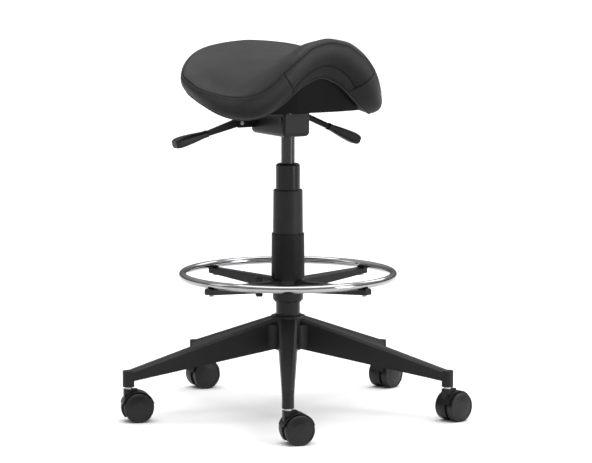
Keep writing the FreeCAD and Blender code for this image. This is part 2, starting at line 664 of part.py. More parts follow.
# Foot ring: tube on four spokes, hub on a sliding bush, two sleeves above, clamp knob at the side.
bush_outer = s.tube_radius + s.fit_gap + s.bush_wall
bush_top = s.spider_top - s.spigot_depth - s.seat_gap
hub_inner = bush_outer + s.fit_gap
spigot_outer = hub_inner + s.spigot_wall
lip_inner = s.tube_radius + s.seat_gap
spider_turn = float(s.ring_turn) + 180 / float(s.spoke_count)
spider = new_body("spider_body")
revolve(spider, "Revolution", polygon(new_sketch(spider, "XZ_Plane"), [
    (lip_inner, s.spider_bottom - s.lip_height), (bush_outer, s.spider_bottom - s.lip_height),
    (bush_outer + 1.5, s.spider_bottom), (s.spider_radius - 2, s.spider_bottom),
    (s.spider_radius, s.spider_top), (spigot_outer + s.fit_gap, s.spider_top),
    (spigot_outer + s.fit_gap, s.spider_top - s.spigot_depth), (hub_inner, s.spider_top - s.spigot_depth),
    (hub_inner, s.spider_bottom), (lip_inner, s.spider_bottom)]))
spoke_top = s.ring_level - s.ring_tube + s.ring_sink
spoke_root = spigot_outer + s.fit_gap + 0.5
spoke_end = s.ring_radius + s.spoke_over
spoke = loft(spider, "AdditiveLoft", [
    beam(spider, spoke_root, s.spoke_root_width, s.spider_top - s.spoke_root_depth, s.spider_top - 1,
         s.spoke_bevel),
    beam(spider, spoke_end, s.spoke_tip_width, spoke_top - s.spoke_tip_depth, spoke_top, s.spoke_bevel)])
screw_hole = extrude(spider, "Pocket", circle(
    new_sketch(spider, "XY_Plane", s.spider_bottom), s.ring_radius, 0, s.ring_screw + s.fit_gap),
    s.ring_level - s.spider_bottom, flip=True)
around(spider, [spoke, screw_hole], s.spoke_count)
doc.recompute()
groove = revolve(spider, "Groove", circle(
    new_sketch(spider, "XZ_Plane"), s.ring_radius, s.ring_level, s.ring_tube + s.fit_gap))
spider.Placement = turn_z(spider_turn)
knob_dir = turn_z(s.ring_turn)
knob_axis = knob_dir.multiply(Placement(Vector(0, 0, float(s.knob_level)), ALONG_X))
keep(cut("spider_tapped", spider, rod(
    "stud_hole", s.stud_radius + s.fit_gap, s.spider_radius + 20, knob_axis)), "ring_spider")


def torus(name, ring, tube, level):
    obj = doc.addObject("Part::Torus", name)
    bind(obj, "Radius1", ring)
    bind(obj, "Radius2", tube)
    obj.Placement.Base = Vector(0, 0, float(level))
    return obj


# The screws' heads bear on the spokes' undersides, which rise and fall with the taper.
spoke_run = (s.ring_radius - spoke_root) / (spoke_end - spoke_root)
spoke_under = along(s.spider_top - s.spoke_root_depth, spoke_top - s.spoke_tip_depth, spoke_run)
head_top = spoke_under - 1
screw_top = s.ring_level - s.ring_tube + s.ring_wall + s.screw_reach
hollow_ring = cut("ring_pipe", torus("ring_outside", s.ring_radius, s.ring_tube, s.ring_level),
                  torus("ring_inside", s.ring_radius, s.ring_tube - s.ring_wall, s.ring_level))
taps, screws = [], []
for i in range(int(float(s.spoke_count))):
    angle = spider_turn + 360 / float(s.spoke_count) * i
    spot = polar(s.ring_radius, angle)
    taps.append(rod(f"ring_tap_{i + 1}", s.ring_screw + s.fit_gap, s.ring_tube, Placement(
        spot + Vector(0, 0, float(s.ring_level - s.ring_tube * 1.5)), Rotation())))
    screws.append(turned(f"ring_screw_{i + 1}", [
        (0, head_top - s.head_height), (s.screw_head, head_top - s.head_height),
        (s.screw_head, head_top), (s.ring_screw, head_top), (s.ring_screw, screw_top), (0, screw_top)],
        Placement(spot, Rotation())))
keep(cut("ring_drilled", hollow_ring, group("ring_taps", taps)), "foot_ring")
keep(group("ring_screw_set", screws), "ring_screws")
keep(turned("clamp_bush", [
    (s.tube_radius + s.fit_gap, s.spider_bottom + s.fit_gap), (bush_outer, s.spider_bottom + s.fit_gap),
    (bush_outer, bush_top), (s.tube_radius + s.fit_gap, bush_top)]), "clamp_bush")
lower_in = s.upper_sleeve_radius + s.fit_gap
keep(turned("lower_sleeve", [
    (hub_inner, s.spider_top - s.spigot_depth), (spigot_outer, s.spider_top - s.spigot_depth),
    (spigot_outer, s.spider_top), (s.lower_sleeve_radius, s.spider_top),
    (s.lower_sleeve_radius - s.sleeve_draft, s.lower_sleeve_top - 2),
    (s.lower_sleeve_radius - s.sleeve_draft - 1, s.lower_sleeve_top), (lower_in, s.lower_sleeve_top),
    (lower_in, s.ledge_level), (hub_inner, s.ledge_level)]), "lower_sleeve")
upper_in = s.upper_sleeve_radius - s.sleeve_draft - s.sleeve_wall
keep(turned("upper_sleeve", [
    (upper_in, s.ledge_level), (s.upper_sleeve_radius, s.ledge_level),
    (s.upper_sleeve_radius, s.lower_sleeve_top),
    (s.upper_sleeve_radius - s.sleeve_draft, s.upper_sleeve_top - 2),
    (s.upper_sleeve_radius - s.sleeve_draft - 1.5, s.upper_sleeve_top),
    (s.tube_radius + s.fit_gap, s.upper_sleeve_top),
    (s.tube_radius + s.fit_gap, s.upper_sleeve_top - 8), (upper_in, s.upper_sleeve_top - 11)]), "upper_sleeve")
knob = new_body("clamp_knob")
revolve(knob, "Revolution", polygon(new_sketch(knob, "XZ_Plane"), [
    (s.stud_radius + s.fit_gap, s.knob_reach), (s.knob_radius * 0.5, s.knob_reach),
    (s.knob_radius * 0.6, s.knob_reach + 3), (s.knob_radius - 2, s.knob_reach + 3),
    (s.knob_radius, s.knob_reach + 5), (s.knob_radius, s.knob_reach + s.knob_thick - 2.5),
    (s.knob_radius - 2.5, s.knob_reach + s.knob_thick), (0, s.knob_reach + s.knob_thick),
    (0, s.knob_reach + s.knob_thick - 4), (s.stud_radius + s.fit_gap, s.knob_reach + s.knob_thick - 4)]))
flute = extrude(knob, "Pocket", circle(
    new_sketch(knob, "XY_Plane", s.knob_reach), s.knob_radius + s.flute_radius * 0.4, 0, s.flute_radius),
    s.knob_thick, flip=True)
around(knob, [flute], s.flute_count)
knob.Placement = knob_axis
keep(knob, "clamp_knob")
stud_start = bush_outer + s.seat_gap
keep(rod("clamp_stud", s.stud_radius, s.knob_reach + s.knob_thick - 4 - s.fit_gap - stud_start,
         knob_axis.multiply(Placement(Vector(0, 0, float(stud_start)), Rotation()))), "clamp_stud")

# Tilt housing: open-topped box round the taper socket, with lugs for the height lever.
half_house = s.house_width / 2
house = new_body("tilt_housing")
shell_pad = extrude(house, "Pad", rectangle(
    new_sketch(house, "XY_Plane", s.house_bottom), -half_house, half_house, -s.house_front, s.house_rear),
    s.house_top - s.house_bottom)
doc.recompute()


def edges_of(feature, test):
    return [f"Edge{i}" for i, e in enumerate(feature.Shape.Edges, 1) if test(e.BoundBox)]


def rounded(body, feature, radius, test):
    doc.recompute()
    fillet = body.newObject("PartDesign::Fillet", body.Name + "_round")
    fillet.Base = (feature, edges_of(feature, test))
    bind(fillet, "Radius", radius)
    doc.recompute()
    return fillet


upright = rounded(house, shell_pad, s.house_corner, lambda b: b.ZLength > float(s.house_top - s.house_bottom) - 1)
rounded(house, upright, s.house_round, lambda b: b.ZMax < float(s.house_bottom) + 0.01)
wall_in = half_house - s.house_wall
extrude(house, "Pocket", rectangle(
    new_sketch(house, "XY_Plane", s.house_top), -wall_in, wall_in,
    s.house_wall - s.house_front, s.house_rear - s.house_wall),
    s.house_top - s.house_bottom - s.house_round)
extrude(house, "Pocket", rectangle(
    new_sketch(house, "XY_Plane", s.house_bottom + s.house_round), s.house_wall * 2 - half_house,
    half_house - s.house_wall * 2, s.house_wall * 2 - s.house_front, s.house_rear - s.house_wall * 2),
    s.house_round - s.house_wall)
extrude(house, "Pocket", circle(
    new_sketch(house, "XY_Plane", s.house_bottom + s.house_wall), 0, 0, s.socket_radius + s.fit_gap), s.house_wall)
lug_in = s.height_pivot_out - s.lug_width / 2
lug_out = s.height_pivot_out + s.lug_width / 2
for near, far in ((s.lug_gap, s.lug_gap + s.lug_thick), (-s.lug_gap - s.lug_thick, -s.lug_gap)):
    extrude(house, "Pad", rectangle(
        new_sketch(house, "XY_Plane", s.house_bottom + s.house_wall), lug_in, lug_out, near, far),
        s.height_pivot_level + s.trunnion_radius + 2 - s.house_bottom - s.house_wall)
extrude(house, "Pocket", circle(
    new_sketch(house, "XZ_Plane"), s.height_pivot_out, s.height_pivot_level, s.trunnion_radius + s.fit_gap),
    (s.lug_gap + s.lug_thick) * 2 + 1, both=True)
extrude(house, "Pocket", rectangle(
    new_sketch(house, "YZ_Plane", half_house), -s.lug_gap, s.lug_gap,
    s.height_pivot_level - s.height_rod * 2.4, s.house_top + 1), s.house_wall * 2)
extrude(house, "Pocket", circle(
    new_sketch(house, "YZ_Plane"), -s.pivot_ahead, s.pivot_level, s.pivot_radius + s.fit_gap),
    s.house_width + 1, both=True)
keep(house, "tilt_housing")

keep(turned("taper_socket", [
    (s.cyl_radius + s.fit_gap, s.house_bottom), (s.socket_radius, s.house_bottom),
    (s.socket_radius, s.cyl_top - 2), (taper_top + s.fit_gap + s.taper_drop * 0.1, s.cyl_top - 2)]), "taper_socket")

# Seat plate with two ears on the pivot pin, a rubber stop under its rear end, four bolts.
plate_top = s.plate_bottom + s.plate_height
half_plate = s.plate_width / 2
plate = new_body("seat_plate")
extrude(plate, "Pad", rectangle(
    new_sketch(plate, "XY_Plane", s.plate_bottom), -half_plate, half_plate, -s.plate_front, s.plate_rear),
    s.plate_height)
ear_out = wall_in - s.ear_inset
ear_foot = s.pivot_level - s.pivot_radius - 4
for offset in (ear_out - s.ear_thick, -ear_out):
    extrude(plate, "Pad", rectangle(
        new_sketch(plate, "YZ_Plane", offset), -s.pivot_ahead - s.ear_length * 0.3,
        s.ear_length * 0.6 - s.pivot_ahead, ear_foot, s.plate_bottom + 1), s.ear_thick)
extrude(plate, "Pocket", circle(
    new_sketch(plate, "YZ_Plane"), -s.pivot_ahead, s.pivot_level, s.pivot_radius + s.fit_gap),
    s.house_width, both=True)
bolt_spots = [(x, y) for x in (-s.bolt_across, s.bolt_across) for y in (-s.bolt_front, s.bolt_rear)]
bolt_sketch = new_sketch(plate, "XY_Plane", plate_top)
for x, y in bolt_spots:
    circle(bolt_sketch, x, y, s.bolt_radius + s.fit_gap)
extrude(plate, "Pocket", bolt_sketch, s.plate_height)
keep(plate, "seat_plate")

pin_end = half_house + s.fit_gap
keep(turned("tilt_pivot_pin", [
    (0, -pin_end - s.pin_head_thick), (s.pin_head, -pin_end - s.pin_head_thick), (s.pin_head, -pin_end),
    (s.pivot_radius, -pin_end), (s.pivot_radius, pin_end), (s.pin_head, pin_end),
    (s.pin_head, pin_end + s.pin_head_thick), (0, pin_end + s.pin_head_thick)],
    Placement(Vector(0, -float(s.pivot_ahead), float(s.pivot_level)), ALONG_X)), "tilt_pivot_pin")
keep(box("tilt_stop", -s.stop_width / 2, s.stop_width / 2, s.house_rear - s.house_wall, s.house_rear,
         s.house_top, s.plate_bottom - s.seat_gap), "tilt_stop")
bolts = []
for i, (x, y) in enumerate(bolt_spots, 1):
    bolts.append(turned(f"seat_bolt_{i}", [
        (0, s.plate_bottom - s.bolt_head_height), (s.bolt_head, s.plate_bottom - s.bolt_head_height),
        (s.bolt_head, s.plate_bottom), (s.bolt_radius, s.plate_bottom),
        (s.bolt_radius, plate_top + s.bolt_reach), (0, plate_top + s.bolt_reach)],
        Placement(Vector(float(x), float(y), 0), Rotation())))
keep(group("seat_bolt_set", bolts), "seat_bolts")


# Lever paddles: rounded bars that swell from the neck, with a bore for the lever.
def rounded_section(half_wide, half_deep, along_x):
    """Rounded rectangle square to X, from four lines and four quarter arcs."""
    r = min(half_wide, half_deep) * 0.75
    a, b = half_wide - r, half_deep - r
    k = r * math.sqrt(0.5)
    spots = [Vector(along_x, p, q) for p, q in (
        (-a, -half_deep), (a, -half_deep), (a + k, -b - k), (half_wide, -b), (half_wide, b),
        (a + k, b + k), (a, half_deep), (-a, half_deep), (-a - k, b + k), (-half_wide, b),
        (-half_wide, -b), (-a - k, -b - k))]
    edges = []
    for i in range(0, 12, 3):
        edges.append(Part.LineSegment(spots[i], spots[i + 1]).toShape())
        edges.append(Part.Arc(spots[i + 1], spots[i + 2], spots[(i + 3) % 12]).toShape())
    return Part.Wire(edges)


def paddle(name, length, bore_shape, place):
    wide, deep, neck = (float(v) / 2 for v in (s.grip_width, s.grip_depth, s.grip_neck))
    # Share of the length, then share of the swell from neck to full section.
    shares = ((0, 0), (0.18, 0.05), (0.45, 0.62), (0.75, 1), (0.92, 0.82), (1, 0.28))
    rings = [rounded_section(neck + (wide - neck) * f, neck * 0.8 + (deep - neck * 0.8) * f, length * t)
             for t, f in shares]
    obj = doc.addObject("Part::Feature", name)
    obj.Shape = Part.makeLoft(rings, True, False).cut(bore_shape)
    obj.Placement = place
    return keep(obj, name)


def sloped(x, y, z, degrees, toward):
    """Frame at a point whose X runs outwards and down by an angle."""
    facing = Rotation(Vector(0, 0, 1), 0 if toward > 0 else 180)
    return Placement(Vector(x, y, z), facing.multiply(Rotation(Vector(0, 1, 0), degrees)))


# Tilt lever on its bracket, to the sitter's right.
lever_y = float(s.tilt_lever_back)
slot_half = s.shank_thick / 2 + s.seat_gap
cheek_low, cheek_high = s.rivet_level - s.cheek_height / 2, s.rivet_level + s.cheek_height / 2
cheek_end = s.rivet_out + s.cheek_past
pieces = [box("bracket_foot", -half_house - s.cheek_thick, -half_house, s.tilt_lever_back - slot_half - s.cheek_thick,
              s.tilt_lever_back + slot_half + s.cheek_thick, cheek_low, cheek_high)]
for tag, near in (("front", s.tilt_lever_back - slot_half - s.cheek_thick), ("rear", s.tilt_lever_back + slot_half)):
    pieces.append(box(f"bracket_{tag}", -cheek_end, -half_house - s.cheek_thick / 2, near, near + s.cheek_thick,
                      cheek_low, cheek_high))
rivet_span = slot_half + s.cheek_thick
rivet_hole = rod("rivet_hole", s.rivet_radius + s.fit_gap, s.grip_width * 2, Placement(
    Vector(-float(s.rivet_out), lever_y - float(s.grip_width), float(s.rivet_level)), ALONG_Y))
keep(cut("bracket_drilled", joined("bracket_solid", *pieces), rivet_hole), "lever_bracket")
keep(turned("lever_rivet", [
    (0, -rivet_span - s.rivet_head_thick), (s.rivet_head, -rivet_span - s.rivet_head_thick),
    (s.rivet_head, -rivet_span), (s.rivet_radius, -rivet_span), (s.rivet_radius, rivet_span),
    (s.rivet_head, rivet_span), (s.rivet_head, rivet_span + s.rivet_head_thick),
    (0, rivet_span + s.rivet_head_thick)],
    Placement(Vector(-float(s.rivet_out), lever_y, float(s.rivet_level)), ALONG_Y)), "lever_rivet")
slope = math.tan(math.radians(float(s.tilt_slope)))
cos_tilt = math.cos(math.radians(float(s.tilt_slope)))
shank = new_body("tilt_lever")
inner = s.shank_depth * 0.7
grip_in = s.tilt_grip_start - s.rivet_out
grip_deep = grip_in + (s.grip_bore - 1.6) * cos_tilt
half_end = s.shank_end_depth / 2
extrude(shank, "Pad", polygon(new_sketch(shank, "XZ_Plane"), [
    (inner, -s.shank_depth / 2), (inner, s.shank_depth / 2), (-s.cheek_past - 2, s.shank_depth / 2),
    (-grip_in, half_end - grip_in * slope), (-grip_deep, half_end - grip_deep * slope),
    (-grip_deep, -half_end - grip_deep * slope), (-grip_in, -half_end - grip_in * slope),
    (-s.cheek_past - 2, -s.shank_depth / 2)]), s.shank_thick, both=True)
extrude(shank, "Pocket", circle(
    new_sketch(shank, "XZ_Plane"), 0, 0, s.rivet_radius + s.fit_gap), s.shank_thick + 1, both=True)
shank.Placement = Placement(Vector(-float(s.rivet_out), lever_y, float(s.rivet_level)), Rotation())
keep(shank, "tilt_lever")
fit = float(s.fit_gap)
deep = float(s.grip_bore)
wide_bore, tall_bore = float(s.shank_thick) + 2 * fit, float(s.shank_end_depth) * cos_tilt + 2 * fit + 0.4
tilt_bore = Part.makeBox(deep + 5, wide_bore, tall_bore, Vector(-5, -wide_bore / 2, -tall_bore / 2))
paddle("tilt_paddle", float(s.tilt_grip_end - s.tilt_grip_start) / cos_tilt, tilt_bore, sloped(
    -float(s.tilt_grip_start), lever_y, float(s.rivet_level) - float(grip_in) * slope, float(s.tilt_slope), -1))

# Height lever: tongue over the release button, trunnion in the lugs, round rod bent down to its paddle.
pivot_x, pivot_z = float(s.height_pivot_out), float(s.height_pivot_level)
fall = math.radians(float(s.height_slope))
bend = Placement(Vector(float(s.height_bend_out), 0, pivot_z), Rotation(Vector(0, 1, 0), 90 + float(s.height_slope)))
rod_length = float(s.height_grip_start - s.height_bend_out) / math.cos(fall) + deep - 1
tongue = box("tongue", -s.tongue_past, s.height_bend_out, -s.tongue_width / 2, s.tongue_width / 2,
             s.height_pivot_level - s.tongue_thick / 2, s.height_pivot_level + s.tongue_thick / 2)
trunnion_half = s.lug_gap + s.lug_thick
trunnion = rod("trunnion", s.trunnion_radius, trunnion_half * 2, Placement(
    Vector(pivot_x, -float(trunnion_half), pivot_z), ALONG_Y))
knuckle = doc.addObject("Part::Sphere", "lever_knuckle")
bind(knuckle, "Radius", s.height_rod)
knuckle.Placement.Base = Vector(float(s.height_bend_out), 0, pivot_z)
keep(joined("height_lever_solid", tongue, trunnion, knuckle,
            rod("lever_rod", s.height_rod, rod_length, bend)), "height_lever")
round_bore = Part.makeCylinder(float(s.height_rod) + fit, deep + 5, Vector(-5, 0, 0), Vector(1, 0, 0))
paddle("height_paddle", float(s.height_grip_end - s.height_grip_start) / math.cos(fall), round_bore, sloped(
    float(s.height_grip_start), 0, pivot_z - float(s.height_grip_start - s.height_bend_out) * math.tan(fall),
    float(s.height_slope), 1))

# Saddle cushion. Each row is one upright slice, front to back, at a share of the half width:
# share; front seam (ahead, up); rear seam; front lower edge; rear lower edge; dip of the top; dip below.
# Ahead is a share of the length from the seat's middle, up a share of the pommel's rise.
SLICES = [
    (0.000, 0.505, 1.005, -0.498, 0.865, 0.410, 0.490, -0.482, 0.525, 0.699, 0.402),
    (0.248, 0.510, 0.927, -0.489, 0.847, 0.408, 0.347, -0.477, 0.511, 0.637, 0.302),
    (0.446, 0.512, 0.719, -0.469, 0.817, 0.390, 0.087, -0.456, 0.478, 0.532, 0.181),
    (0.594, 0.490, 0.480, -0.446, 0.779, 0.352, -0.035, -0.433, 0.439, 0.452, 0.106),
    (0.703, 0.444, 0.329, -0.422, 0.727, 0.310, -0.089, -0.410, 0.392, 0.377, 0.060),
    (0.782, 0.368, 0.239, -0.399, 0.665, 0.245, -0.089, -0.387, 0.337, 0.319, 0.044),
    (0.861, 0.246, 0.219, -0.367, 0.589, 0.140, -0.047, -0.352, 0.271, 0.292, 0.052),
    (0.936, 0.085, 0.269, -0.316, 0.515, 0.005, 0.031, -0.298, 0.223, 0.325, 0.093),
    (1.000, -0.075, 0.342, -0.246, 0.447, -0.094, 0.107, -0.236, 0.202, 0.373, 0.147),
]


def bulged(start, end, swell):
    """Arc between two points; a negative share of the chord bows it outwards."""
    chord = end - start
    side = Vector(0, -chord.z, chord.y)
    return Part.Arc(start, (start + end) * 0.5 + side * swell, end).toShape()


def through(start, end, level):
    middle = (start + end) * 0.5
    return Part.Arc(start, Vector(middle.x, middle.y, level), end).toShape()


def slice_points(row, side):
    share, *rest = row
    x = side * share * float(s.seat_width) / 2
    def spot(ahead, up):
        return Vector(x, float(s.seat_back) - ahead * float(s.seat_length),
                      float(plate_top) + up * float(s.seat_rise))
    return (spot(rest[0], rest[1]), spot(rest[2], rest[3]), spot(rest[4], rest[5]),
            spot(rest[6], rest[7]), spot(0, rest[8]).z, spot(0, rest[9]).z)


def slice_wire(row, side):
    front, rear, front_low, rear_low, dip, under = slice_points(row, side)
    return Part.Wire([through(rear, front, dip), bulged(front, front_low, -0.15),
                      through(front_low, rear_low, under), bulged(rear_low, rear, -0.08)])


order = [(row, -1) for row in SLICES[:0:-1]] + [(row, 1) for row in SLICES]
cushion_shape = Part.makeLoft([slice_wire(row, side) for row, side in order], True, False)
cushion = doc.addObject("Part::Feature", "seat_pad")
cushion.Shape = cushion_shape
cushion.Placement = Placement()
keep(cushion, "seat_pad")


# Pan: hollow moulding that fills the arch under the cushion, flat below where it meets the plate.
def hull(inset, floor):
    """Upright slices from the floor up into the cushion, drawn in by a wall."""
    wires = []
    reach = float(s.pan_reach) - inset
    for share in (-1, -0.8, -0.45, 0, 0.45, 0.8, 1):
        x = share * reach
        part = abs(x) / (float(s.seat_width) / 2)
        after = next(i for i, row in enumerate(SLICES) if row[0] > part)
        a, b = SLICES[after - 1], SLICES[after]
        blend = (part - a[0]) / (b[0] - a[0])
        row = [p + (q - p) * blend for p, q in zip(a, b)]
        front, rear, front_low, rear_low, dip, under = slice_points(row, 1)
        lead = front_low.y + float(s.pan_inset) + inset
        tail = rear_low.y - float(s.pan_inset) * 2 - inset
        flat = float(s.pan_flat) - inset
        mid_front = (front.z + front_low.z) / 2
        mid_rear = (rear.z + rear_low.z) / 2
        level = (dip + under) / 2
        corners = [Vector(x, lead + 3, floor), Vector(x, flat, floor),
                   Vector(x, tail, rear_low.z - 8 - (float(plate_top) - floor)), Vector(x, tail, mid_rear),
                   Vector(x, (lead + tail) / 2, level), Vector(x, lead, mid_front)]
        wires.append(Part.makePolygon(corners + corners[:1]))
    return Part.makeLoft(wires, True, True)


floor_z = float(plate_top)
lowered = cushion_shape.copy()
lowered.translate(Vector(0, 0, -float(s.seat_gap)))
pan_shape = hull(0, floor_z).cut(lowered).cut(hull(float(s.pan_wall), floor_z + float(s.pan_wall)).cut(lowered))
for x, y in bolt_spots:
    spot = Vector(float(x), float(y), floor_z)
    boss_height = float(s.bolt_reach) + 3
    pan_shape = pan_shape.fuse(Part.makeCylinder(float(s.pan_boss), boss_height, spot))
    pan_shape = pan_shape.cut(Part.makeCylinder(
        float(s.bolt_radius) + fit, float(s.bolt_reach) + fit, spot))
pan = doc.addObject("Part::Feature", "seat_pan")
pan.Shape = max(pan_shape.Solids, key=lambda solid: solid.Volume)
pan.Placement = Placement()
keep(pan, "seat_pan")

doc.recompute()
bad = [o.Label for o in doc.Objects if {"Invalid", "Error"} & set(o.State)]
if bad:
    raise RuntimeError(f"failed objects: {bad}")
for name, obj in nodes.items():
    if obj.Shape.isNull() or not obj.Shape.isValid() or not obj.Shape.Solids:
        raise RuntimeError(f"bad shape: {name}")
os.makedirs("parts", exist_ok=True)
for name, obj in nodes.items():
    obj.Shape.exportStep(f"parts/{name}.step")
print(len(nodes), "sub-parts written")
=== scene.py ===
import bpy
import json
import math
import numpy as np
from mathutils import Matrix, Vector


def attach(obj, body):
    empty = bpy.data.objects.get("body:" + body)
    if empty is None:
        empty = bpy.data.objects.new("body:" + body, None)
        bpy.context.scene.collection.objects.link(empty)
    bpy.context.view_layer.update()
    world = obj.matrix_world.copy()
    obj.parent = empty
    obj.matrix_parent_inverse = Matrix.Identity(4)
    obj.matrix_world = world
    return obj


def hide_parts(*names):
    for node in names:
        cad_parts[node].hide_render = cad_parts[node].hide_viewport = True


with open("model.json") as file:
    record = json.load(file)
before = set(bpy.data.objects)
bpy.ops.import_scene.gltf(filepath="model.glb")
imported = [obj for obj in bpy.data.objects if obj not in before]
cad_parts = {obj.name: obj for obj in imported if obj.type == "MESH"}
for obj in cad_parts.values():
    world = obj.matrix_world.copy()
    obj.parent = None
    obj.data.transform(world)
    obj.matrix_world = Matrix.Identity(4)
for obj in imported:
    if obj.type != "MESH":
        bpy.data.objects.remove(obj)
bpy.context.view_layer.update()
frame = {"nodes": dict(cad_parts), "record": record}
nodes = frame["nodes"]


class Sock:
    # one output socket; sums on it add Math nodes, add() makes any other node
    def __init__(self, tree, out):
        self.tree, self.out = tree, out

    @staticmethod
    def add(tree, kind, settings=None, links=None, out=0):
        node = tree.nodes.new(kind)
        for key, value in (settings or {}).items():
            setattr(node, key, value)
        for key, value in (links or {}).items():
            if isinstance(value, Sock):
                tree.links.new(value.out, node.inputs[key])
            else:
                node.inputs[key].default_value = value
        return Sock(tree, node.outputs[out])

    def sums(self, how, *values):
        return Sock.add(self.tree, "ShaderNodeMath", {"operation": how}, dict(enumerate(values)))

    def only(self, how):
        return self.sums(how, self)

    def __add__(self, other):
        return self.sums("ADD", self, other)

    def __sub__(self, other):
        return self.sums("SUBTRACT", self, other)

    def __rsub__(self, other):
        return self.sums("SUBTRACT", other, self)

    def __mul__(self, other):
        return self.sums("MULTIPLY", self, other)

    def __truediv__(self, other):
        return self.sums("DIVIDE", self, other)

    __radd__, __rmul__ = __add__, __mul__

    def ramp(self, low, high):  # eased 0 to 1 between two values
        return Sock.add(self.tree, "ShaderNodeMapRange", {"interpolation_type": "SMOOTHSTEP"},
                        {"Value": self, "From Min": low, "From Max": high})

    def tint(self, dark, light):  # colour between two, self as the share
        return Sock.add(self.tree, "ShaderNodeMix", {"data_type": "RGBA"}, {0: self, 6: dark, 7: light}, 2)


def place(tree, stretch=(1, 1, 1)):
    at = Sock.add(tree, "ShaderNodeTexCoord", out="Object")
    return Sock.add(tree, "ShaderNodeMapping", {}, {"Vector": at, "Scale": stretch})


def noise(tree, at, scale, detail=3.0, rough=0.55):
    return Sock.add(tree, "ShaderNodeTexNoise", {},
                    {"Vector": at, "Scale": scale, "Detail": detail, "Roughness": rough})


def bump(tree, height, strength, depth, over=None):
    links = {"Height": height, "Strength": strength, "Distance": depth}
    if over is not None:
        links["Normal"] = over
    return Sock.add(tree, "ShaderNodeBump", {}, links, "Normal")


def softEdge(tree, radius):  # moulded and coated edges are never sharp
    return Sock.add(tree, "ShaderNodeBevel", {"samples": 6}, {"Radius": radius})


def surface(name, paint, gloss=0.5, **fixed):
    # paint(tree) gives what varies; gloss and fixed are numbers set on the shader itself
    made = bpy.data.materials.new(name)
    made.use_nodes = True
    tree = made.node_tree
    tree.nodes.clear()
    values = {"Specular IOR Level": gloss, **fixed, **paint(tree)}
    shader = Sock.add(tree, "ShaderNodeBsdfPrincipled", {}, values)
    end = tree.nodes.new("ShaderNodeOutputMaterial")
    tree.links.new(shader.out, end.inputs[0])
    return made


nylon = {"dark": (0.0065, 0.0065, 0.007, 1), "light": (0.013, 0.013, 0.0138, 1), "rough": 0.44,
         "cloud": 9, "scuff": 60, "grain": 1500, "grainDepth": 0.00012, "edge": 0.0009}


def paintNylon(tree):
    at = place(tree)
    cloud = noise(tree, at, nylon["cloud"], 4)  # slow drift of tone
    grain = noise(tree, at, nylon["grain"], 2)  # spark-eroded mould grain
    scuff = noise(tree, place(tree, (1, 1, 0.25)), nylon["scuff"], 6, 0.7).ramp(0.60, 0.78)  # handling marks
    return {"Base Color": (cloud * 0.8 + scuff * 0.3).ramp(0.25, 0.8).tint(nylon["dark"], nylon["light"]),
            "Roughness": cloud * 0.10 + grain * 0.06 + scuff * 0.08 + (nylon["rough"] - 0.08),
            "Normal": bump(tree, grain, 0.30, nylon["grainDepth"], softEdge(tree, nylon["edge"]))}


wheel = {"dark": (0.006, 0.006, 0.0065, 1), "light": (0.012, 0.012, 0.0125, 1), "rough": 0.34,
         "cloud": 16, "dust": 45, "dustDepth": 0.0001, "edge": 0.0012}


def paintWheel(tree):
    dust = noise(tree, place(tree), wheel["dust"], 6, 0.7).ramp(0.55, 0.80)  # floor dust in patches
    cloud = noise(tree, place(tree), wheel["cloud"], 3)
    return {"Base Color": (cloud * 0.7 + dust * 0.5).ramp(0.2, 0.9).tint(wheel["dark"], wheel["light"]),
            "Roughness": cloud * 0.08 + dust * 0.16 + (wheel["rough"] - 0.05),
            "Normal": bump(tree, dust, 0.12, wheel["dustDepth"], softEdge(tree, wheel["edge"]))}


powder = {"dark": (0.0068, 0.0068, 0.0072, 1), "light": (0.0127, 0.0127, 0.0136, 1), "rough": 0.38,
          "cloud": 14, "rub": 90, "peel": 420, "peelDepth": 0.00015, "edge": 0.0007}


def paintPowder(tree):
    at = place(tree)
    peel = noise(tree, at, powder["peel"], 1.5)  # orange peel of the coat
    cloud = noise(tree, at, powder["cloud"], 3)
    rub = noise(tree, place(tree, (1, 1, 0.2)), powder["rub"], 6, 0.7).ramp(0.63, 0.8)
    return {"Base Color": (cloud + rub * 0.3).ramp(0.3, 0.85).tint(powder["dark"], powder["light"]),
            "Roughness": cloud * 0.12 + rub * 0.08 + (powder["rough"] - 0.06),
            "Normal": bump(tree, peel, 0.30, powder["peelDepth"], softEdge(tree, powder["edge"]))}


enamel = {"dark": (0.006, 0.006, 0.0065, 1), "light": (0.012, 0.012, 0.013, 1), "rough": 0.20,
          "streak": 300, "streakDepth": 0.00005, "wipe": 35}


def paintEnamel(tree):
    streak = noise(tree, place(tree, (1, 1, 0.04)), enamel["streak"], 4)  # upright draw lines under the paint
    wipe = noise(tree, place(tree, (1, 1, 0.3)), enamel["wipe"], 5, 0.65).ramp(0.5, 0.8)
    return {"Base Color": (streak * 0.5 + wipe * 0.5).ramp(0.2, 0.8).tint(enamel["dark"], enamel["light"]),
            "Roughness": streak * 0.10 + wipe * 0.12 + (enamel["rough"] - 0.06),
            "Normal": bump(tree, streak, 0.10, enamel["streakDepth"])}


zinc = {"dark": (0.34, 0.34, 0.35, 1), "light": (0.58, 0.58, 0.59, 1), "rough": 0.32,
        "streak": 240, "streakDepth": 0.00006, "cloud": 60}


def paintZinc(tree):
    streak = noise(tree, place(tree, (1, 1, 14)), zinc["streak"], 4)  # draw marks
    cloud = noise(tree, place(tree), zinc["cloud"], 4)
    return {"Base Color": (streak * 0.5 + cloud * 0.5).ramp(0.3, 0.7).tint(zinc["dark"], zinc["light"]),
            "Roughness": streak * 0.16 + cloud * 0.10 + (zinc["rough"] - 0.12),
            "Normal": bump(tree, streak, 0.15, zinc["streakDepth"])}


chrome = {"dark": (0.26, 0.26, 0.27, 1), "light": (0.36, 0.36, 0.37, 1), "rough": 0.10, "smear": 34,
          "fleck": 520}


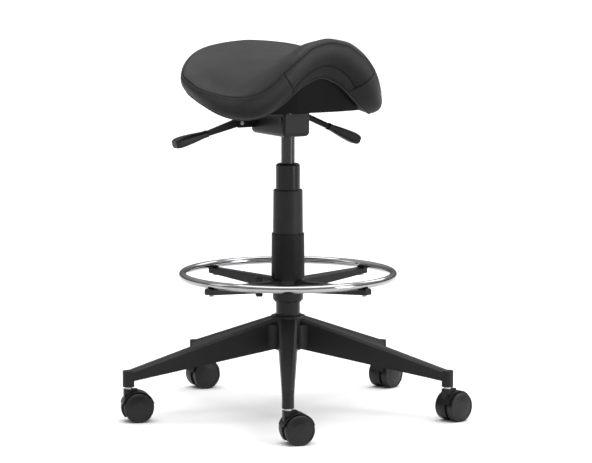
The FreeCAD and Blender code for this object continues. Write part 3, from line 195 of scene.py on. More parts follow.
def paintChrome(tree):
    smear = noise(tree, place(tree, (1, 1, 2)), chrome["smear"], 5, 0.65).ramp(0.45, 0.75)  # shoe haze
    fleck = noise(tree, place(tree), chrome["fleck"], 3).ramp(0.66, 0.74)
    return {"Base Color": (smear * 0.6 + fleck * 0.3).tint(chrome["light"], chrome["dark"]),
            "Roughness": smear * 0.07 + fleck * 0.10 + chrome["rough"]}


rubber = {"dark": (0.012, 0.012, 0.012, 1), "light": (0.024, 0.024, 0.024, 1), "rough": 0.68, "grain": 700,
          "grainDepth": 0.0001}


def paintRubber(tree):
    grain = noise(tree, place(tree), rubber["grain"], 3)
    return {"Base Color": grain.tint(rubber["dark"], rubber["light"]),
            "Roughness": grain * 0.1 + rubber["rough"],
            "Normal": bump(tree, grain, 0.3, rubber["grainDepth"])}


nylonFinish = surface("mouldedNylon", paintNylon, 0.24)
slotFinish = {"black_nylon": nylonFinish,
              "caster_tread": surface("casterNylon", paintWheel, 0.30),
              "black_steel": surface("blackPowderCoat", paintPowder, 0.26),
              "bright_steel": surface("zincPlate", paintZinc, Metallic=1.0),
              "ring_chrome": surface("ringPlating", paintChrome, Metallic=1.0),
              "buffer_rubber": surface("softRubber", paintRubber, 0.30)}

# pieces with a finish of their own; those in the shade of the seat or the ring get duller copies of their
# slot's finish, as painted shade
shadedNylonFinish = surface("shadedNylon", paintNylon, 0.12)
shadedLeverFinish = surface("shadedLeverCoat", paintPowder, 0.08)
ownFinish = {"pressure_cylinder": surface("columnEnamel", paintEnamel, 0.42),
             "column_tube": surface("tubeEnamel", paintEnamel, 0.20),
             "seat_pan": surface("shadedPanNylon", paintNylon, 0.03),
             "tilt_housing": surface("housingCoat", paintPowder, 0.17),
             "tilt_lever": shadedLeverFinish, "height_lever": shadedLeverFinish, "lever_bracket": shadedLeverFinish,
             "height_paddle": shadedNylonFinish, "lower_sleeve": shadedNylonFinish}


def wear(piece, material):
    piece.data.materials.clear()
    piece.data.materials.append(material)


for part in frame["record"]["subparts"]:
    finish = slotFinish.get(part["material_slot"], nylonFinish)
    wear(nodes[part["node"]], ownFinish.get(part["node"], finish))
print("finishes on", len(nodes), "solids")


def smooth(low, high, value):
    # eased step from 0 to 1 between two values
    part = np.clip((value - low) / (high - low), 0, 1)
    return part * part * (3 - 2 * part)


def unit(v):
    # the same directions at length one
    return v / np.maximum(np.linalg.norm(v, axis=-1, keepdims=True), 1e-12)


def hump(value, width):
    # bell curve, 1 in the middle and a little over a third at the width
    return np.exp(-(value / width) ** 2)


def evening(steps, spread):
    # weights along a bell curve that add up to one
    bell = np.exp(-0.5 * (steps / spread) ** 2)
    return bell / bell.sum(-1, keepdims=True)


def meshPiece(name, points, faces):
    mesh = bpy.data.meshes.new(name)
    mesh.from_pydata(points.tolist(), [], faces)
    mesh.shade_smooth()
    piece = bpy.data.objects.new(name, mesh)
    bpy.context.scene.collection.objects.link(piece)
    return piece


def gridQuads(rows, columns, closed=True):
    # corner numbers of the quads between neighbouring rows and columns, wrapped round if closed
    wide = columns if closed else columns - 1
    row, column = np.meshgrid(np.arange(rows - 1), np.arange(wide), indexing="ij")
    after = (column + 1) % columns
    corners = [row * columns + column, row * columns + after,
               (row + 1) * columns + after, (row + 1) * columns + column]
    return np.stack(corners, -1).reshape(-1, 4)


def gridMesh(name, grid, headPoint=None, tailPoint=None, closed=True):
    # rows of a grid joined into quads, with an optional point closing each end by a fan
    rows, columns = grid.shape[:2]
    points, faces = [grid.reshape(-1, 3)], gridQuads(rows, columns, closed).tolist()
    count = rows * columns
    ring = np.arange(columns)
    for tip, start, turned in ((headPoint, 0, True), (tailPoint, (rows - 1) * columns, False)):
        if tip is None:
            continue
        points.append(np.asarray(tip, float)[None])
        fan = np.stack([np.full(columns, count), start + np.roll(ring, -1), start + ring], 1)
        faces += (fan if turned else fan[:, [0, 2, 1]]).tolist()
        count += 1
    return meshPiece(name, np.concatenate(points), faces)


# Each slice: share of the half width; front seam y, z; rear seam y, z; front lower edge y, z;
# rear lower edge y, z; middle of the top z; middle below z. Each y is a share of the length, forward
# of the middle, and each z a share of the rise above the foot.
saddle = {"half": 0.197, "middle": 0.008, "length": 0.344, "foot": 0.6305, "rise": 0.1515,
          "topMiddle": (0.0, 0.012), "underMiddle": (0.0, 0.02), "panGap": 0.001,
          "around": 420, "topRows": 44, "boxRows": 48, "underRows": 12,
          "boxPeaks": [(0.05, 0.10, 4), (0.70, 0.08, 2.5), (1, 0.04, 2)], "topCrowding": 1.5,
          "sliceSteps": 801, "sliceReach": 60, "sliceSpread": 16.0,
          "linePoints": 500, "sidePoints": 80, "loopPoints": 1600, "seamSpread": 11, "edgeSpread": 24,
          "fan": (0.52, 0.86), "tuck": 0.05, "tuckFrom": 0.88, "crown": 0.004, "crownPower": 9,
          "roll": 0.009, "rollReach": 0.030, "rollMiddle": 0.55, "rollFull": 0.30, "rollEnd": (0.62, 0.92),
          "sideSwell": 0.007, "frontSwell": 0.016, "frontBlend": 0.09, "wingBlend": (0.55, 0.78),
          "fullest": {"side": 0.85, "wing": 0.36, "pommel": -0.23},
          "crestSoft": (0.0065, 0.0150), "crestBlend": (0.10, 0.135), "edgeSoft": 0.0055,
          "softReach": 0.06, "softStep": 0.0006, "softFade": (0.03, 0.058),
          "slices": np.array([
              (0.000, 0.518, 1.045, -0.498, 0.878, 0.410, 0.490, -0.482, 0.525, 0.699, 0.402),
              (0.248, 0.523, 0.967, -0.489, 0.860, 0.408, 0.347, -0.477, 0.511, 0.637, 0.302),
              (0.446, 0.530, 0.773, -0.469, 0.830, 0.390, 0.087, -0.456, 0.478, 0.532, 0.181),
              (0.594, 0.502, 0.514, -0.446, 0.792, 0.352, -0.035, -0.433, 0.439, 0.452, 0.106),
              (0.703, 0.447, 0.335, -0.422, 0.740, 0.310, -0.105, -0.410, 0.392, 0.377, 0.060),
              (0.782, 0.368, 0.239, -0.399, 0.678, 0.245, -0.107, -0.387, 0.337, 0.319, 0.044),
              (0.861, 0.246, 0.219, -0.367, 0.602, 0.140, -0.060, -0.352, 0.271, 0.292, 0.052),
              (0.936, 0.085, 0.269, -0.316, 0.528, 0.005, 0.031, -0.298, 0.223, 0.325, 0.093),
              (1.000, -0.075, 0.342, -0.246, 0.460, -0.094, 0.107, -0.236, 0.202, 0.373, 0.147)])}


def sliceValues(share):
    # each column of the slices as an even function of the share of the half width: straight lines
    # between the slices, evened by a bell curve
    table, reach = saddle["slices"], saddle["sliceReach"]
    knots = np.concatenate([-table[:0:-1, 0], table[:, 0]])
    fine = np.linspace(-1, 1, saddle["sliceSteps"])
    weights = evening(np.arange(-reach, reach + 1), saddle["sliceSpread"])
    found = []
    for column in range(1, table.shape[1]):
        line = np.interp(fine, knots, np.concatenate([table[:0:-1, column], table[:, column]]))
        ends = 2 * line[0] - line[reach:0:-1], line, 2 * line[-1] - line[-2:-2 - reach:-1]
        evened = np.convolve(np.concatenate(ends), weights, "valid")
        found.append(np.interp(np.clip(np.abs(share), 0, 1), fine, evened))
    ahead, up = [0, 2, 4, 6], [1, 3, 5, 7, 8, 9]
    for column in ahead:
        found[column] = saddle["middle"] - found[column] * saddle["length"]
    for column in up:
        found[column] = saddle["foot"] + found[column] * saddle["rise"]
    return found


def bowl(front, frontZ, rear, rearZ, middleZ, y):
    # parabola front to back through the front, middle and rear heights
    along = np.clip((y - (front + rear) / 2) / np.maximum((rear - front) / 2, 0.02), -1.2, 1.2)
    return middleZ + (rearZ - frontZ) / 2 * along + ((rearZ + frontZ) / 2 - middleZ) * along ** 2


def topHeight(x, y):
    # the bowl plus a roll behind the front seam that rises and dies away with the distance;
    # it is full on the pommel's flanks, about half in the middle and gone at the wing tips
    v = sliceValues(x / saddle["half"])
    part = np.abs(x) / saddle["half"]
    middle = saddle["rollMiddle"]
    flank = middle + (1 - middle) * smooth(0.0, saddle["rollFull"], part)
    flank = flank * (1 - smooth(*saddle["rollEnd"], part))
    behind = np.maximum(y - v[0], 0) / saddle["rollReach"]
    return bowl(v[0], v[1], v[2], v[3], v[8], y) + saddle["roll"] * flank * behind * np.exp(1 - behind)


def underHeight(x, y):
    # the bowl of the underside
    v = sliceValues(x / saddle["half"])
    return bowl(v[4], v[5], v[6], v[7], v[9], y)


def softened(loop, spread):
    # closed line of points, evened by a bell curve along it
    n = len(loop)
    weights = evening(np.minimum(np.arange(n), n - np.arange(n)), spread)
    return np.real(np.fft.ifft(np.fft.fft(loop, axis=0) * np.fft.fft(weights)[:, None], axis=0))


def seatLoops():
    # the seam and the lower edge as two closed lines with matching points, front middle first and the
    # +X side first, and the seam's length
    share = np.linspace(0, 1, saddle["linePoints"])
    across = np.linspace(0, 1, saddle["sidePoints"])[1:-1, None]
    lowShare = share * (0.5 + 0.5 * smooth(*saddle["fan"], share))  # the boxing fans out round the arch
    top, low = sliceValues(share), sliceValues(lowShare)
    tuck = 1 - saddle["tuck"] * smooth(saddle["tuckFrom"], 1, share)  # sides draw in below
    x, xLow, xRear = [part * saddle["half"] for part in (share, lowShare * tuck, share * tuck)]

    def mirrored(front, rear):  # front line, straight side and rear line, then the same on the -X side
        front, rear = np.stack(front, 1), np.stack(rear, 1)[::-1]
        half = np.concatenate([front, front[-1] + across * (rear[0] - front[-1]), rear])
        return np.concatenate([half, half[-2:0:-1] * (-1, 1, 1)])

    seam = mirrored((x, top[0], top[1]), (x, top[2], top[3]))
    edge = mirrored((xLow, low[4], low[5]), (xRear, top[6], top[7]))
    run = np.concatenate([[0], np.cumsum(np.linalg.norm(np.roll(seam, -1, 0) - seam, axis=1))])
    even = np.linspace(0, run[-1], saddle["loopPoints"], endpoint=False)

    def spread(loop):  # points evenly spaced by the seam's run
        return np.stack([np.interp(even, run, np.append(loop[:, k], loop[0, k])) for k in range(3)], 1)

    return softened(spread(seam), saddle["seamSpread"]), softened(spread(edge), saddle["edgeSpread"]), run[-1]


def spaced(count, peaks):
    # values from 0 to 1, closer together near each peak (place, width, extra density)
    fine = np.linspace(0, 1, 4001)
    density = 1 + sum(extra * hump(fine - at, width) for at, width, extra in peaks)
    total = np.concatenate([[0], np.cumsum((density[1:] + density[:-1]) / 2)])
    return np.interp(np.linspace(0, total[-1], count), total, fine)


def onLoop(loop, share):
    # points of a closed line at shares of its run
    n = len(loop)
    spot = (share % 1) * n
    low = spot.astype(int) % n
    part = (spot - np.floor(spot))[:, None]
    return loop[low] * (1 - part) + loop[(low + 1) % n] * part


def sectionRun(grid):
    # metres along each column from its first row
    step = np.linalg.norm(np.diff(grid, axis=0), axis=-1)
    return np.concatenate([np.zeros((1, grid.shape[1])), np.cumsum(step, 0)])


def alongColumns(where, run, grid):
    # each column's points read at set distances along its own run
    return np.stack([[np.interp(where, run[:, i], grid[:, i, k]) for k in range(3)]
                     for i in range(grid.shape[1])])


def eased(grid, row, spread):
    # each section is evened round one row by a bell curve of that column's spread, mixed from the
    # narrowest and the widest; the change fades out between 3 and 6 cm from the row
    run = sectionRun(grid)
    run = run - run[row]
    even = np.arange(-saddle["softReach"], saddle["softReach"], saddle["softStep"])
    lines = alongColumns(even, run, grid)
    apart = even[:, None] - even[None]
    soft = [lines @ evening(apart, size).T for size in (spread.min(), spread.max())]
    part = ((spread - spread.min()) / max(float(np.ptp(spread)), 1e-9))[:, None, None]
    fade = 1 - smooth(*saddle["softFade"], np.abs(even))
    change = (soft[0] * (1 - part) + soft[1] * part - lines) * fade
    moved = np.stack([[np.interp(run[:, i], even, change[i, k], 0, 0) for k in range(3)]
                      for i in range(len(spread))])
    return grid + moved.transpose(2, 0, 1)


def coverGrid(loops, share, t, v, w):
    # rows run from the middle of the top out to the seam, down the boxing and in below;
    # columns run round the seat. Top: a straight line in plan from the middle to the seam, on the bowl,
    # plus a crown that falls off at the seam. Boxing: seam to lower edge, swelling outwards by a half sine.
    # The crest and the lower edge are then eased.
    seam, edge = onLoop(loops[0], share), onLoop(loops[1], share)
    centre, inner = np.array(saddle["topMiddle"]), np.array(saddle["underMiddle"])
    t, v, w = t[:, None], v[:, None, None], w[:, None]
    x, y = [centre[k] + t * (seam[None, :, k] - centre[k]) for k in (0, 1)]
    lift = topHeight(seam[:, 0], seam[:, 1])
    z = topHeight(x, y) + t ** 4 * (seam[None, :, 2] - lift[None])
    z = z + saddle["crown"] * (1 - t ** saddle["crownPower"])
    top = np.stack([x, y, z], -1)
    drop = edge - seam
    along = np.roll(seam + edge, -1, 0) - np.roll(seam + edge, 1, 0)
    outward = unit(np.cross(along, -drop))
    outward *= np.sign((outward[:, :2] * (seam[:, :2] - centre)).sum(1))[:, None]
    front = smooth(-saddle["frontBlend"], saddle["frontBlend"], -seam[:, 1])[None, :, None]
    swell = saddle["sideSwell"] + (saddle["frontSwell"] - saddle["sideSwell"]) * front
    wing = smooth(*saddle["wingBlend"], np.abs(seam[:, 0]) / saddle["half"])[None, :, None]
    full = saddle["fullest"]  # a higher power puts the fullest place lower, as on the wing tips
    power = full["side"] + front * (full["wing"] * wing + full["pommel"] * (1 - wing))
    box = seam + v * drop + np.sin(np.pi * v ** power) * swell * outward
    ux, uy = [edge[None, :, k] + w * (inner[k] - edge[None, :, k]) for k in (0, 1)]
    below = underHeight(edge[:, 0], edge[:, 1])
    uz = underHeight(ux, uy) + (1 - w) ** 4 * (edge[None, :, 2] - below[None]) + saddle["panGap"]
    under = np.stack([ux, uy, uz], -1)
    head = np.array([*centre, topHeight(np.zeros(1), centre[1:])[0] + saddle["crown"]])
    tail = np.array([*inner, underHeight(np.zeros(1), inner[1:])[0] + saddle["panGap"]])
    narrow, wide = saddle["crestSoft"]
    pommel = smooth(*saddle["crestBlend"], -seam[:, 1])
    grid = eased(np.concatenate([top, box, under]), len(t) - 1, narrow + (wide - narrow) * pommel)
    grid = eased(grid, len(t) + len(v) - 1, np.full(len(share), saddle["edgeSoft"]))
    return grid, head, tail


sewing = {"radialShare": 0.56, "radialPeak": (0.007, 6), "arch": (0.66, 0.75),
          "pommelDrop": 0.0100, "dropFade": (0.34, 0.66),
          "grooveDepth": 0.0019, "grooveWidth": 0.0011, "puff": 0.0009, "boxDepth": 0.8,
          "stitchGap": 0.005, "stitchTrack": 0.0011, "stitchSink": 0.0004, "stitchShade": 0.7,
          "archDip": 0.0034, "dipWidth": 0.011, "bandPuff": 0.0026}


def archShare(share, radial):
    # how far down the boxing the arch seam lies, growing with the square of the way round from the front
    # middle, and that way round as a share of the way to the radial seams
    turn = np.minimum(share % 1, 1 - share % 1) / radial
    low, high = sewing["arch"]
    return low + (high - low) * np.clip(turn, 0, 1) ** 2, turn


swelling = {"columns": 168, "topRows": 18, "boxRows": 14, "underRows": 6, "archHold": 0.036, "frames": 20,
            "quality": 6, "mass": 0.25, "stretch": 22, "shear": 12, "bend": 3, "pressure": 4.0,
            "evenings": 3, "cap": 0.0045}


def clothSwell(loops, radial):
    # foam pressing the cover outwards: cloth under pressure on a coarse grid, held along its seams;
    # gives each point's movement, evened and kept under the cap
    share = np.arange(swelling["columns"]) / swelling["columns"]
    t, v, w = [np.linspace(0, 1, swelling[key] + 1)[1:] for key in ("topRows", "boxRows", "underRows")]
    w = w[:-1]
    grid, head, tail = coverGrid(loops, share, t, v, w)
    rows = np.concatenate([t, 1 + v, 2 + w])
    piece = gridMesh("clothTrial", grid, head, tail)
    arch, turn = archShare(share, radial)
    held = np.zeros(grid.shape[:2], bool)
    held |= ((np.abs(rows - 1) < 0.01) | (rows >= 1.99))[:, None]  # top seam, lower edge and all below
    held |= (np.abs(rows[:, None] - 1 - arch[None]) < swelling["archHold"]) & (turn < 1)[None]
    held |= (np.abs(turn - 1)[None] < 0.5 / swelling["columns"] / radial) & (rows > 1)[:, None]
    group = piece.vertex_groups.new(name="sewn")
    group.add(np.flatnonzero(held.ravel()).tolist() + [held.size + 1], 1.0, "REPLACE")
    knobs = piece.modifiers.new("swell", "CLOTH").settings
    knobs.quality, knobs.mass = swelling["quality"], swelling["mass"]
    knobs.tension_stiffness = knobs.compression_stiffness = swelling["stretch"]
    knobs.shear_stiffness, knobs.bending_stiffness = swelling["shear"], swelling["bend"]
    knobs.use_pressure, knobs.uniform_pressure_force = True, swelling["pressure"]
    knobs.vertex_group_mass = "sewn"
    knobs.effector_weights.gravity = 0
    for step in range(1, swelling["frames"] + 1):
        bpy.context.scene.frame_set(step)
    made = piece.evaluated_get(bpy.context.evaluated_depsgraph_get()).to_mesh()
    after = np.empty(len(made.vertices) * 3)
    made.vertices.foreach_get("co", after)
    move = after.reshape(-1, 3)[:held.size].reshape(grid.shape) - grid
    bpy.context.scene.frame_set(1)
    old = piece.data
    bpy.data.objects.remove(piece)
    bpy.data.meshes.remove(old)
    for again in range(swelling["evenings"]):  # evens out the finest folds
        move = (np.roll(move, 1, 1) + 2 * move + np.roll(move, -1, 1)) / 4
        move[1:-1] = (move[:-2] + 2 * move[1:-1] + move[2:]) / 4
    move[held] = 0
    far = np.linalg.norm(move, axis=-1, keepdims=True)
    print("cover swell: up to", round(float(far.max()) * 1000, 1), "mm before the cap")
    return move / (1 + far / swelling["cap"]), rows, share


def between(values, rows, share, newRows, newShare):
    # two-way straight-line reading of a grid that closes on itself along its columns
    up = np.clip(np.searchsorted(rows, newRows) - 1, 0, len(rows) - 2)
    a = np.clip((newRows - rows[up]) / (rows[up + 1] - rows[up]), 0, 1)[:, None, None]
    spot = newShare * len(share)
    left = np.floor(spot).astype(int) % len(share)
    b = (spot - np.floor(spot))[None, :, None]
    right = (left + 1) % len(share)
    low, high = [values[row][:, left] * (1 - b) + values[row][:, right] * b for row in (up, up + 1)]
    return low * (1 - a) + high * a


def gridNormals(grid):
    # outward direction from the differences along rows and columns
    down = np.gradient(grid, axis=0)
    around = np.roll(grid, -1, 1) - np.roll(grid, 1, 1)
    return unit(np.cross(down, around))


def sewnLine(gap):
    # profile across a seam: a bell-shaped groove with a soft roll on each side
    width = sewing["grooveWidth"]
    roll = sewing["puff"] * hump(np.abs(gap) - 3.4 * width, 2.4 * width)
    return roll - sewing["grooveDepth"] * hump(gap, width)


def sewnCover(grid, rows, share, loops, radial):
    # distance from the top seam, the cover's offset from all seams and the painted shade in their creases and
    # along the stitching;
    # rows count 0 to 1 on the top, 1 to 2 on the boxing and from 2 below
    run = sectionRun(grid)
    atSeam = onLoop(loops[0], share)
    pommel = 1 - smooth(*sewing["dropFade"], np.abs(atSeam[:, 0]) / saddle["half"])
    pommel = pommel * (atSeam[:, 1] < 0)
    # metres down from the top seam, negative on the top panel; on the pommel the seam is below the crest
    gap = run - run[saddle["topRows"] - 1] - sewing["pommelDrop"] * pommel
    arch, turn = archShare(share, radial)
    atArch = np.stack([np.interp(1 + arch[i], rows, run[:, i]) for i in range(len(share))])
    sides = [int(np.argmin(np.abs(share - spot))) for spot in (radial, 1 - radial)]
    across = np.minimum(*[np.linalg.norm(grid - grid[:, [i]], axis=-1) for i in sides])
    inBox = (smooth(0.98, 1.03, rows) * (1 - smooth(1.94, 2.0, rows)))[:, None]
    inArch = (1 - smooth(0.97, 1.02, turn))[None] * inBox
    less = sewing["boxDepth"]  # the boxing's own seams are shallower
    seams = [(gap, np.ones_like(gap), 1.0), (run - atArch, inArch, less), (across, inBox, less)]
    offset = sum(window * weight * sewnLine(away) for away, window, weight in seams)
    stitchLine = hump(np.abs(gap) - sewing["stitchGap"], sewing["stitchTrack"])
    band = np.clip((rows[:, None] - 1 - arch) / (1 - arch), 0, 1)  # from the arch seam to the lower edge
    dip = sewing["archDip"] * hump(run - atArch, sewing["dipWidth"])
    offset = offset - sewing["stitchSink"] * stitchLine
    offset = offset + inArch * (sewing["bandPuff"] * np.sin(np.pi * band) - dip)
    # painted shade: share of darker colour in the seam grooves and along the stitch track
    creaseShade = sum(window * hump(away, 1.3 * sewing["grooveWidth"]) for away, window, weight in seams)
    return gap, offset, np.clip(creaseShade + sewing["stitchShade"] * stitchLine, 0, 1)


def makeSeat():
    # the cover's grid with its cloth swell, set off square to itself by the seams' profiles
    loops = seatLoops()
    radial = np.argmax(loops[0][:, 0] >= sewing["radialShare"] * saddle["half"]) / len(loops[0])
    peaks = [(at, *sewing["radialPeak"]) for at in (radial, 1 - radial)]
    share = spaced(saddle["around"] + 1, peaks)[:-1]
    inward = 1 - np.linspace(0, 1, saddle["topRows"] + 1)[1:]
    t = 1 - inward ** saddle["topCrowding"]  # closer rows near the seam
    v = spaced(saddle["boxRows"] + 1, saddle["boxPeaks"])[1:]
    w = np.linspace(0, 1, saddle["underRows"] + 1)[1:-1]
    grid, head, tail = coverGrid(loops, share, t, v, w)
    rows = np.concatenate([t, 1 + v, 2 + w])
    moved = between(*clothSwell(loops, radial), rows, share)
    grid, head = grid + moved, head + moved[0].mean(0)
    normal = gridNormals(grid)
    gap, offset, creaseShadeMask = sewnCover(grid, rows, share, loops, radial)
    shaped = grid + offset[..., None] * normal
    piece = gridMesh("seatCover", shaped, head, tail)
    seamRun = np.broadcast_to(share * loops[2], gap.shape)
    for name, values in (("creaseShadeMask", creaseShadeMask), ("seamGap", gap), ("seamRun", seamRun)):
        layer = piece.data.attributes.new(name, "FLOAT", "POINT")
        layer.data.foreach_set("value", np.concatenate([values.ravel(), [0.0, 0.0]]).astype(np.float32))
    return piece, shaped, normal, gap, loops[2]


def tube(name, path, radius, sides):
    # round section carried along a closed path, square to the path's run
    along = unit(np.roll(path, -1, 0) - np.roll(path, 1, 0))
    side = unit(np.cross(along, np.array([0.0, 0.0, 1.0])))
    up = np.cross(side, along)
    turn = np.linspace(0, 2 * np.pi, sides, endpoint=False)[:, None, None]
    rings = path + radius * (np.cos(turn) * side + np.sin(turn) * up)
    return gridMesh(name, np.concatenate([rings, rings[:1]]))


stitches = {"pitch": 0.0058, "length": 0.0040, "radius": 0.00050, "bow": 0.0003, "sink": 0.00015,
            "rings": 6, "sides": 6}


def capsules(line, out):
    # short threads along a line: a round bar with tapering ends, bowed a little off the cover
    step = np.linalg.norm(np.roll(line, -1, 0) - line, axis=1)
    run = np.concatenate([[0], np.cumsum(step)])
    count = int(run[-1] / stitches["pitch"])
    middle = ((np.arange(count) + 0.5) * run[-1] / count)[:, None]

    def at(values, where):  # the closed line's values at distances along it
        closed = np.concatenate([values, values[:1]])
        return np.stack([np.interp(where % run[-1], run, closed[:, k]) for k in range(3)], -1)

    u = np.linspace(-0.5, 0.5, stitches["rings"])
    up = unit(at(out, middle + u * 0))
    off = (1 - (2 * u) ** 2) * stitches["bow"] - stitches["sink"]
    spine = at(line, middle + u * stitches["length"]) + up * off[None, :, None]
    side = unit(np.cross(unit(np.gradient(spine, axis=1)), up))
    girth = stitches["radius"] * np.sqrt(np.clip(1 - (2 * u) ** 4, 0.02, 1))[None, :, None, None]
    turn = np.linspace(0, 2 * np.pi, stitches["sides"], endpoint=False)[None, None, :, None]
    points = spine[:, :, None] + girth * (np.cos(turn) * side[:, :, None] + np.sin(turn) * up[:, :, None])
    quads = gridQuads(stitches["rings"], stitches["sides"])[:, [0, 3, 2, 1]]
    each = stitches["rings"] * stitches["sides"]
    faces = (quads[None] + (np.arange(count) * each)[:, None, None]).reshape(-1, 4)
    return points.reshape(-1, 3), faces


def makeStitches(shaped, normal, gap):
    # a row of threads on each side of the top seam, at the stitch gap from it
    points, faces, start = [], [], 0
    for away in (-sewing["stitchGap"], sewing["stitchGap"]):
        dots, quads = capsules(*[alongColumns(away, gap, grid) for grid in (shaped, normal)])
        points.append(dots)
        faces.append(quads + start)
        start += len(dots)
    return meshPiece("seatStitching", np.concatenate(points), np.concatenate(faces).tolist())


# the side share is the part of the top panel's tone kept on the boxing, a painted shade of its side faces
leather = {"dark": (0.0148, 0.0148, 0.0154, 1), "light": (0.0278, 0.0278, 0.0288, 1), "rough": 0.60,
           "side": 0.60, "gloss": 0.08, "coat": 0.33, "coatRough": 0.40, "creaseShade": (0.006, 0.006, 0.0062, 1),
           "creaseShadeShare": 0.62, "pebble": 430, "pebbleDepth": 0.00030, "fine": 1700, "cloud": 11,
           "pucker": 0.013, "puckerDrift": 9, "puckerDepth": 0.0009, "seamBell": 0.00016}


def paintLeather(tree):
    at = place(tree)
    cell = Sock.add(tree, "ShaderNodeTexVoronoi", {"feature": "SMOOTH_F1"},
                    {"Vector": at, "Scale": leather["pebble"], "Smoothness": 0.6}, "Distance")
    fine = noise(tree, at, leather["fine"], 2)
    cloud = noise(tree, at, leather["cloud"], 4)
    creaseShadeMask, gap, run = [Sock.add(tree, "ShaderNodeAttribute", {"attribute_name": name}, out="Fac")
                        for name in ("creaseShadeMask", "seamGap", "seamRun")]
    near = (gap * gap / -leather["seamBell"]).only("EXPONENT")  # bell across the seam
    turns = run * (2 * math.pi / leather["pucker"])
    wave = (turns + cloud * leather["puckerDrift"]).only("SINE")  # puckers along it
    boxingShade = 1 - gap.ramp(0.0, 0.004) * (1 - leather["side"])  # painted shade: the boxing's tone is darkened against the top panel's, as shade on its side faces
    tone = (cloud * 0.9 + cell * 0.2).ramp(0.25, 0.85) * boxingShade - (1 - boxingShade) * 0.9
    shade = tone.tint(leather["dark"], leather["light"])
    pebbled = bump(tree, cell * 0.8 + fine * 0.2, 0.30, leather["pebbleDepth"])
    # painted shade: the cover's colour is darkened in the seam grooves and along the stitch track
    return {"Base Color": (creaseShadeMask * leather["creaseShadeShare"]).tint(shade, leather["creaseShade"]),
            "Coat Weight": (1 - gap.ramp(0.010, 0.036)) * leather["coat"],  # polished by use above
            "Roughness": cloud * 0.10 + cell * 0.08 + creaseShadeMask * 0.15 + (leather["rough"] - 0.09),
            "Normal": bump(tree, wave * near, 0.14, leather["puckerDepth"], pebbled)}


thread = {"dark": (0.016, 0.016, 0.017, 1), "light": (0.04, 0.04, 0.042, 1), "rough": 0.5, "gloss": 0.3,
          "twist": 2600, "twistDepth": 0.0001}


def paintThread(tree):
    twist = noise(tree, place(tree), thread["twist"], 2)
    return {"Base Color": twist.tint(thread["dark"], thread["light"]),
            "Roughness": twist * 0.2 + thread["rough"],
            "Normal": bump(tree, twist, 0.4, thread["twistDepth"])}


piping = {"radius": 0.0015, "sides": 10, "proud": 0.0006, "shade": (0.007, 0.007, 0.0073, 1),
          "grain": 900, "grainDepth": 0.0002}


def paintPiping(tree):
    cell = noise(tree, place(tree), piping["grain"], 3)
    # painted shade: the piping is darker than the cover, between the crease shade colour and its own dark
    # tone, as shade along the seat's lower edge
    return {"Base Color": cell.tint(leather["creaseShade"], piping["shade"]),
            "Roughness": cell * 0.12 + leather["rough"],
            "Normal": bump(tree, cell, 0.25, piping["grainDepth"])}


seatCover, coverPoints, coverOut, seamGap, seamLength = makeSeat()
edgeRow = saddle["topRows"] + saddle["boxRows"] - 1
edgeLine = coverPoints[edgeRow] + piping["proud"] * coverOut[edgeRow]
edgePiping = tube("seatPiping", edgeLine, piping["radius"], piping["sides"])
stitching = makeStitches(coverPoints, coverOut, seamGap)
leatherFinish = surface("coatedLeather", paintLeather, leather["gloss"],
                        **{"Coat Roughness": leather["coatRough"]})
threadFinish = surface("sewingThread", paintThread, thread["gloss"])
pipingFinish = surface("pipingLeather", paintPiping)
for piece, finish in ((seatCover, leatherFinish), (edgePiping, pipingFinish), (stitching, threadFinish)):
    wear(piece, finish)
    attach(piece, "seat")
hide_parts("seat_pad")
print("seat cover:", len(seatCover.data.polygons), "faces, stitches", len(stitching.data.polygons),
      "faces, seam", round(seamLength, 3), "m")


studio = {"floor": (0.92, 0.92, 0.92, 1), "floorDark": (0.915, 0.915, 0.915, 1), "floorHalf": 60.0,
          "floorGloss": 0.1, "floorRough": 0.6, "haze": 1.5, "horizon": 0.12, "zenith": 0.70, "skyRise": 0.7,
          "sun": 2.8, "sunSpread": 70, "sunFrom": (0.2, -0.3, 4.0)}


def paintFloor(tree):
    haze = noise(tree, place(tree), studio["haze"], 2)
    return {"Base Color": haze.tint(studio["floorDark"], studio["floor"]),
            "Roughness": haze * 0.05 + studio["floorRough"]}


def flatSheet(name, half, z):
    # level square as a three by three grid
    span = np.linspace(-half, half, 3)
    x, y = np.meshgrid(span, span)
    return gridMesh(name, np.stack([x, y, np.full_like(x, z)], -1), closed=False)


floor = flatSheet("studioFloor", studio["floorHalf"], 0.0)
wear(floor, surface("paleFloor", paintFloor, studio["floorGloss"]))

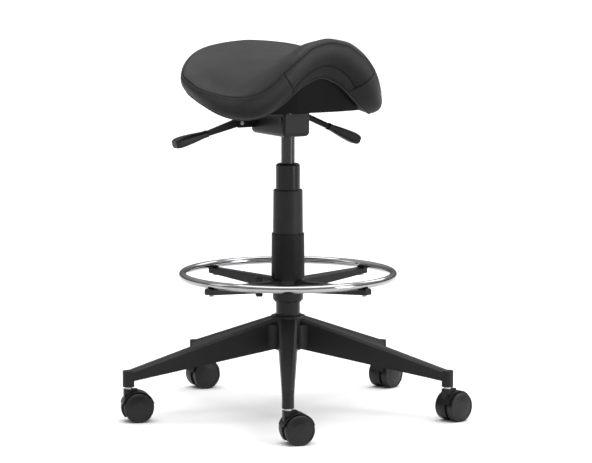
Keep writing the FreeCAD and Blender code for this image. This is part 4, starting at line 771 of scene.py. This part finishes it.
world = bpy.data.worlds.new("studioSky")
world.use_nodes = True
sky = world.node_tree
toSky = Sock.add(sky, "ShaderNodeTexCoord", out="Generated")
height = Sock.add(sky, "ShaderNodeSeparateXYZ", {}, {0: toSky}, 2)
brighter = studio["zenith"] - studio["horizon"]  # dim walls, bright ceiling
glow = height.ramp(0.0, studio["skyRise"]) * brighter + studio["horizon"]
sky.nodes["Background"].inputs[0].default_value = (1, 1, 1, 1)
sky.links.new(glow.out, sky.nodes["Background"].inputs[1])
bpy.context.scene.world = world

lamps = {"keyBox": {"at": (1.35, -2.3, 0.95), "aim": (0, 0, 0.55), "size": (0.9, 1.5), "watts": 24},
         "sideBox": {"at": (-2.4, 0.9, 1.7), "aim": (0, 0, 0.55), "size": (0.8, 1.6), "watts": 6},
         "rimBox": {"at": (2.0, 0.7, 1.9), "aim": (0, 0, 0.6), "size": (1.2, 0.9), "watts": 10}}


def hang(name, data, at, aim):
    # a lamp or camera at one point, turned to another
    stand = bpy.data.objects.new(name, data)
    stand.location = at
    stand.rotation_euler = (Vector(aim) - Vector(at)).to_track_quat("-Z", "Y").to_euler()
    bpy.context.scene.collection.objects.link(stand)
    return stand


for name, lamp in lamps.items():
    light = bpy.data.lights.new(name, "AREA")
    light.shape, light.size, light.size_y = "RECTANGLE", *lamp["size"]
    light.energy = lamp["watts"]
    hang(name, light, lamp["at"], lamp["aim"])
sun = bpy.data.lights.new("ceilingGlow", "SUN")
sun.energy, sun.angle = studio["sun"], math.radians(studio["sunSpread"])
hang("ceilingGlow", sun, studio["sunFrom"], (0, 0, 0))

shot = {"azimuth": 240, "distance": 6.0, "height": 1.15, "aim": (0.0143, -0.00825, 0.3764), "lens": 178.9,
        "sensor": 36.0, "far": 200}
eye = bpy.data.cameras.new("shotCamera")
eye.lens, eye.sensor_width, eye.clip_end = shot["lens"], shot["sensor"], shot["far"]
turn = math.radians(shot["azimuth"])
eyeAt = shot["distance"] * math.cos(turn), shot["distance"] * math.sin(turn), shot["height"]
bpy.context.scene.camera = hang("shotCamera", eye, eyeAt, shot["aim"])
bpy.context.scene.view_settings.view_transform = "Standard"
print("stage set")
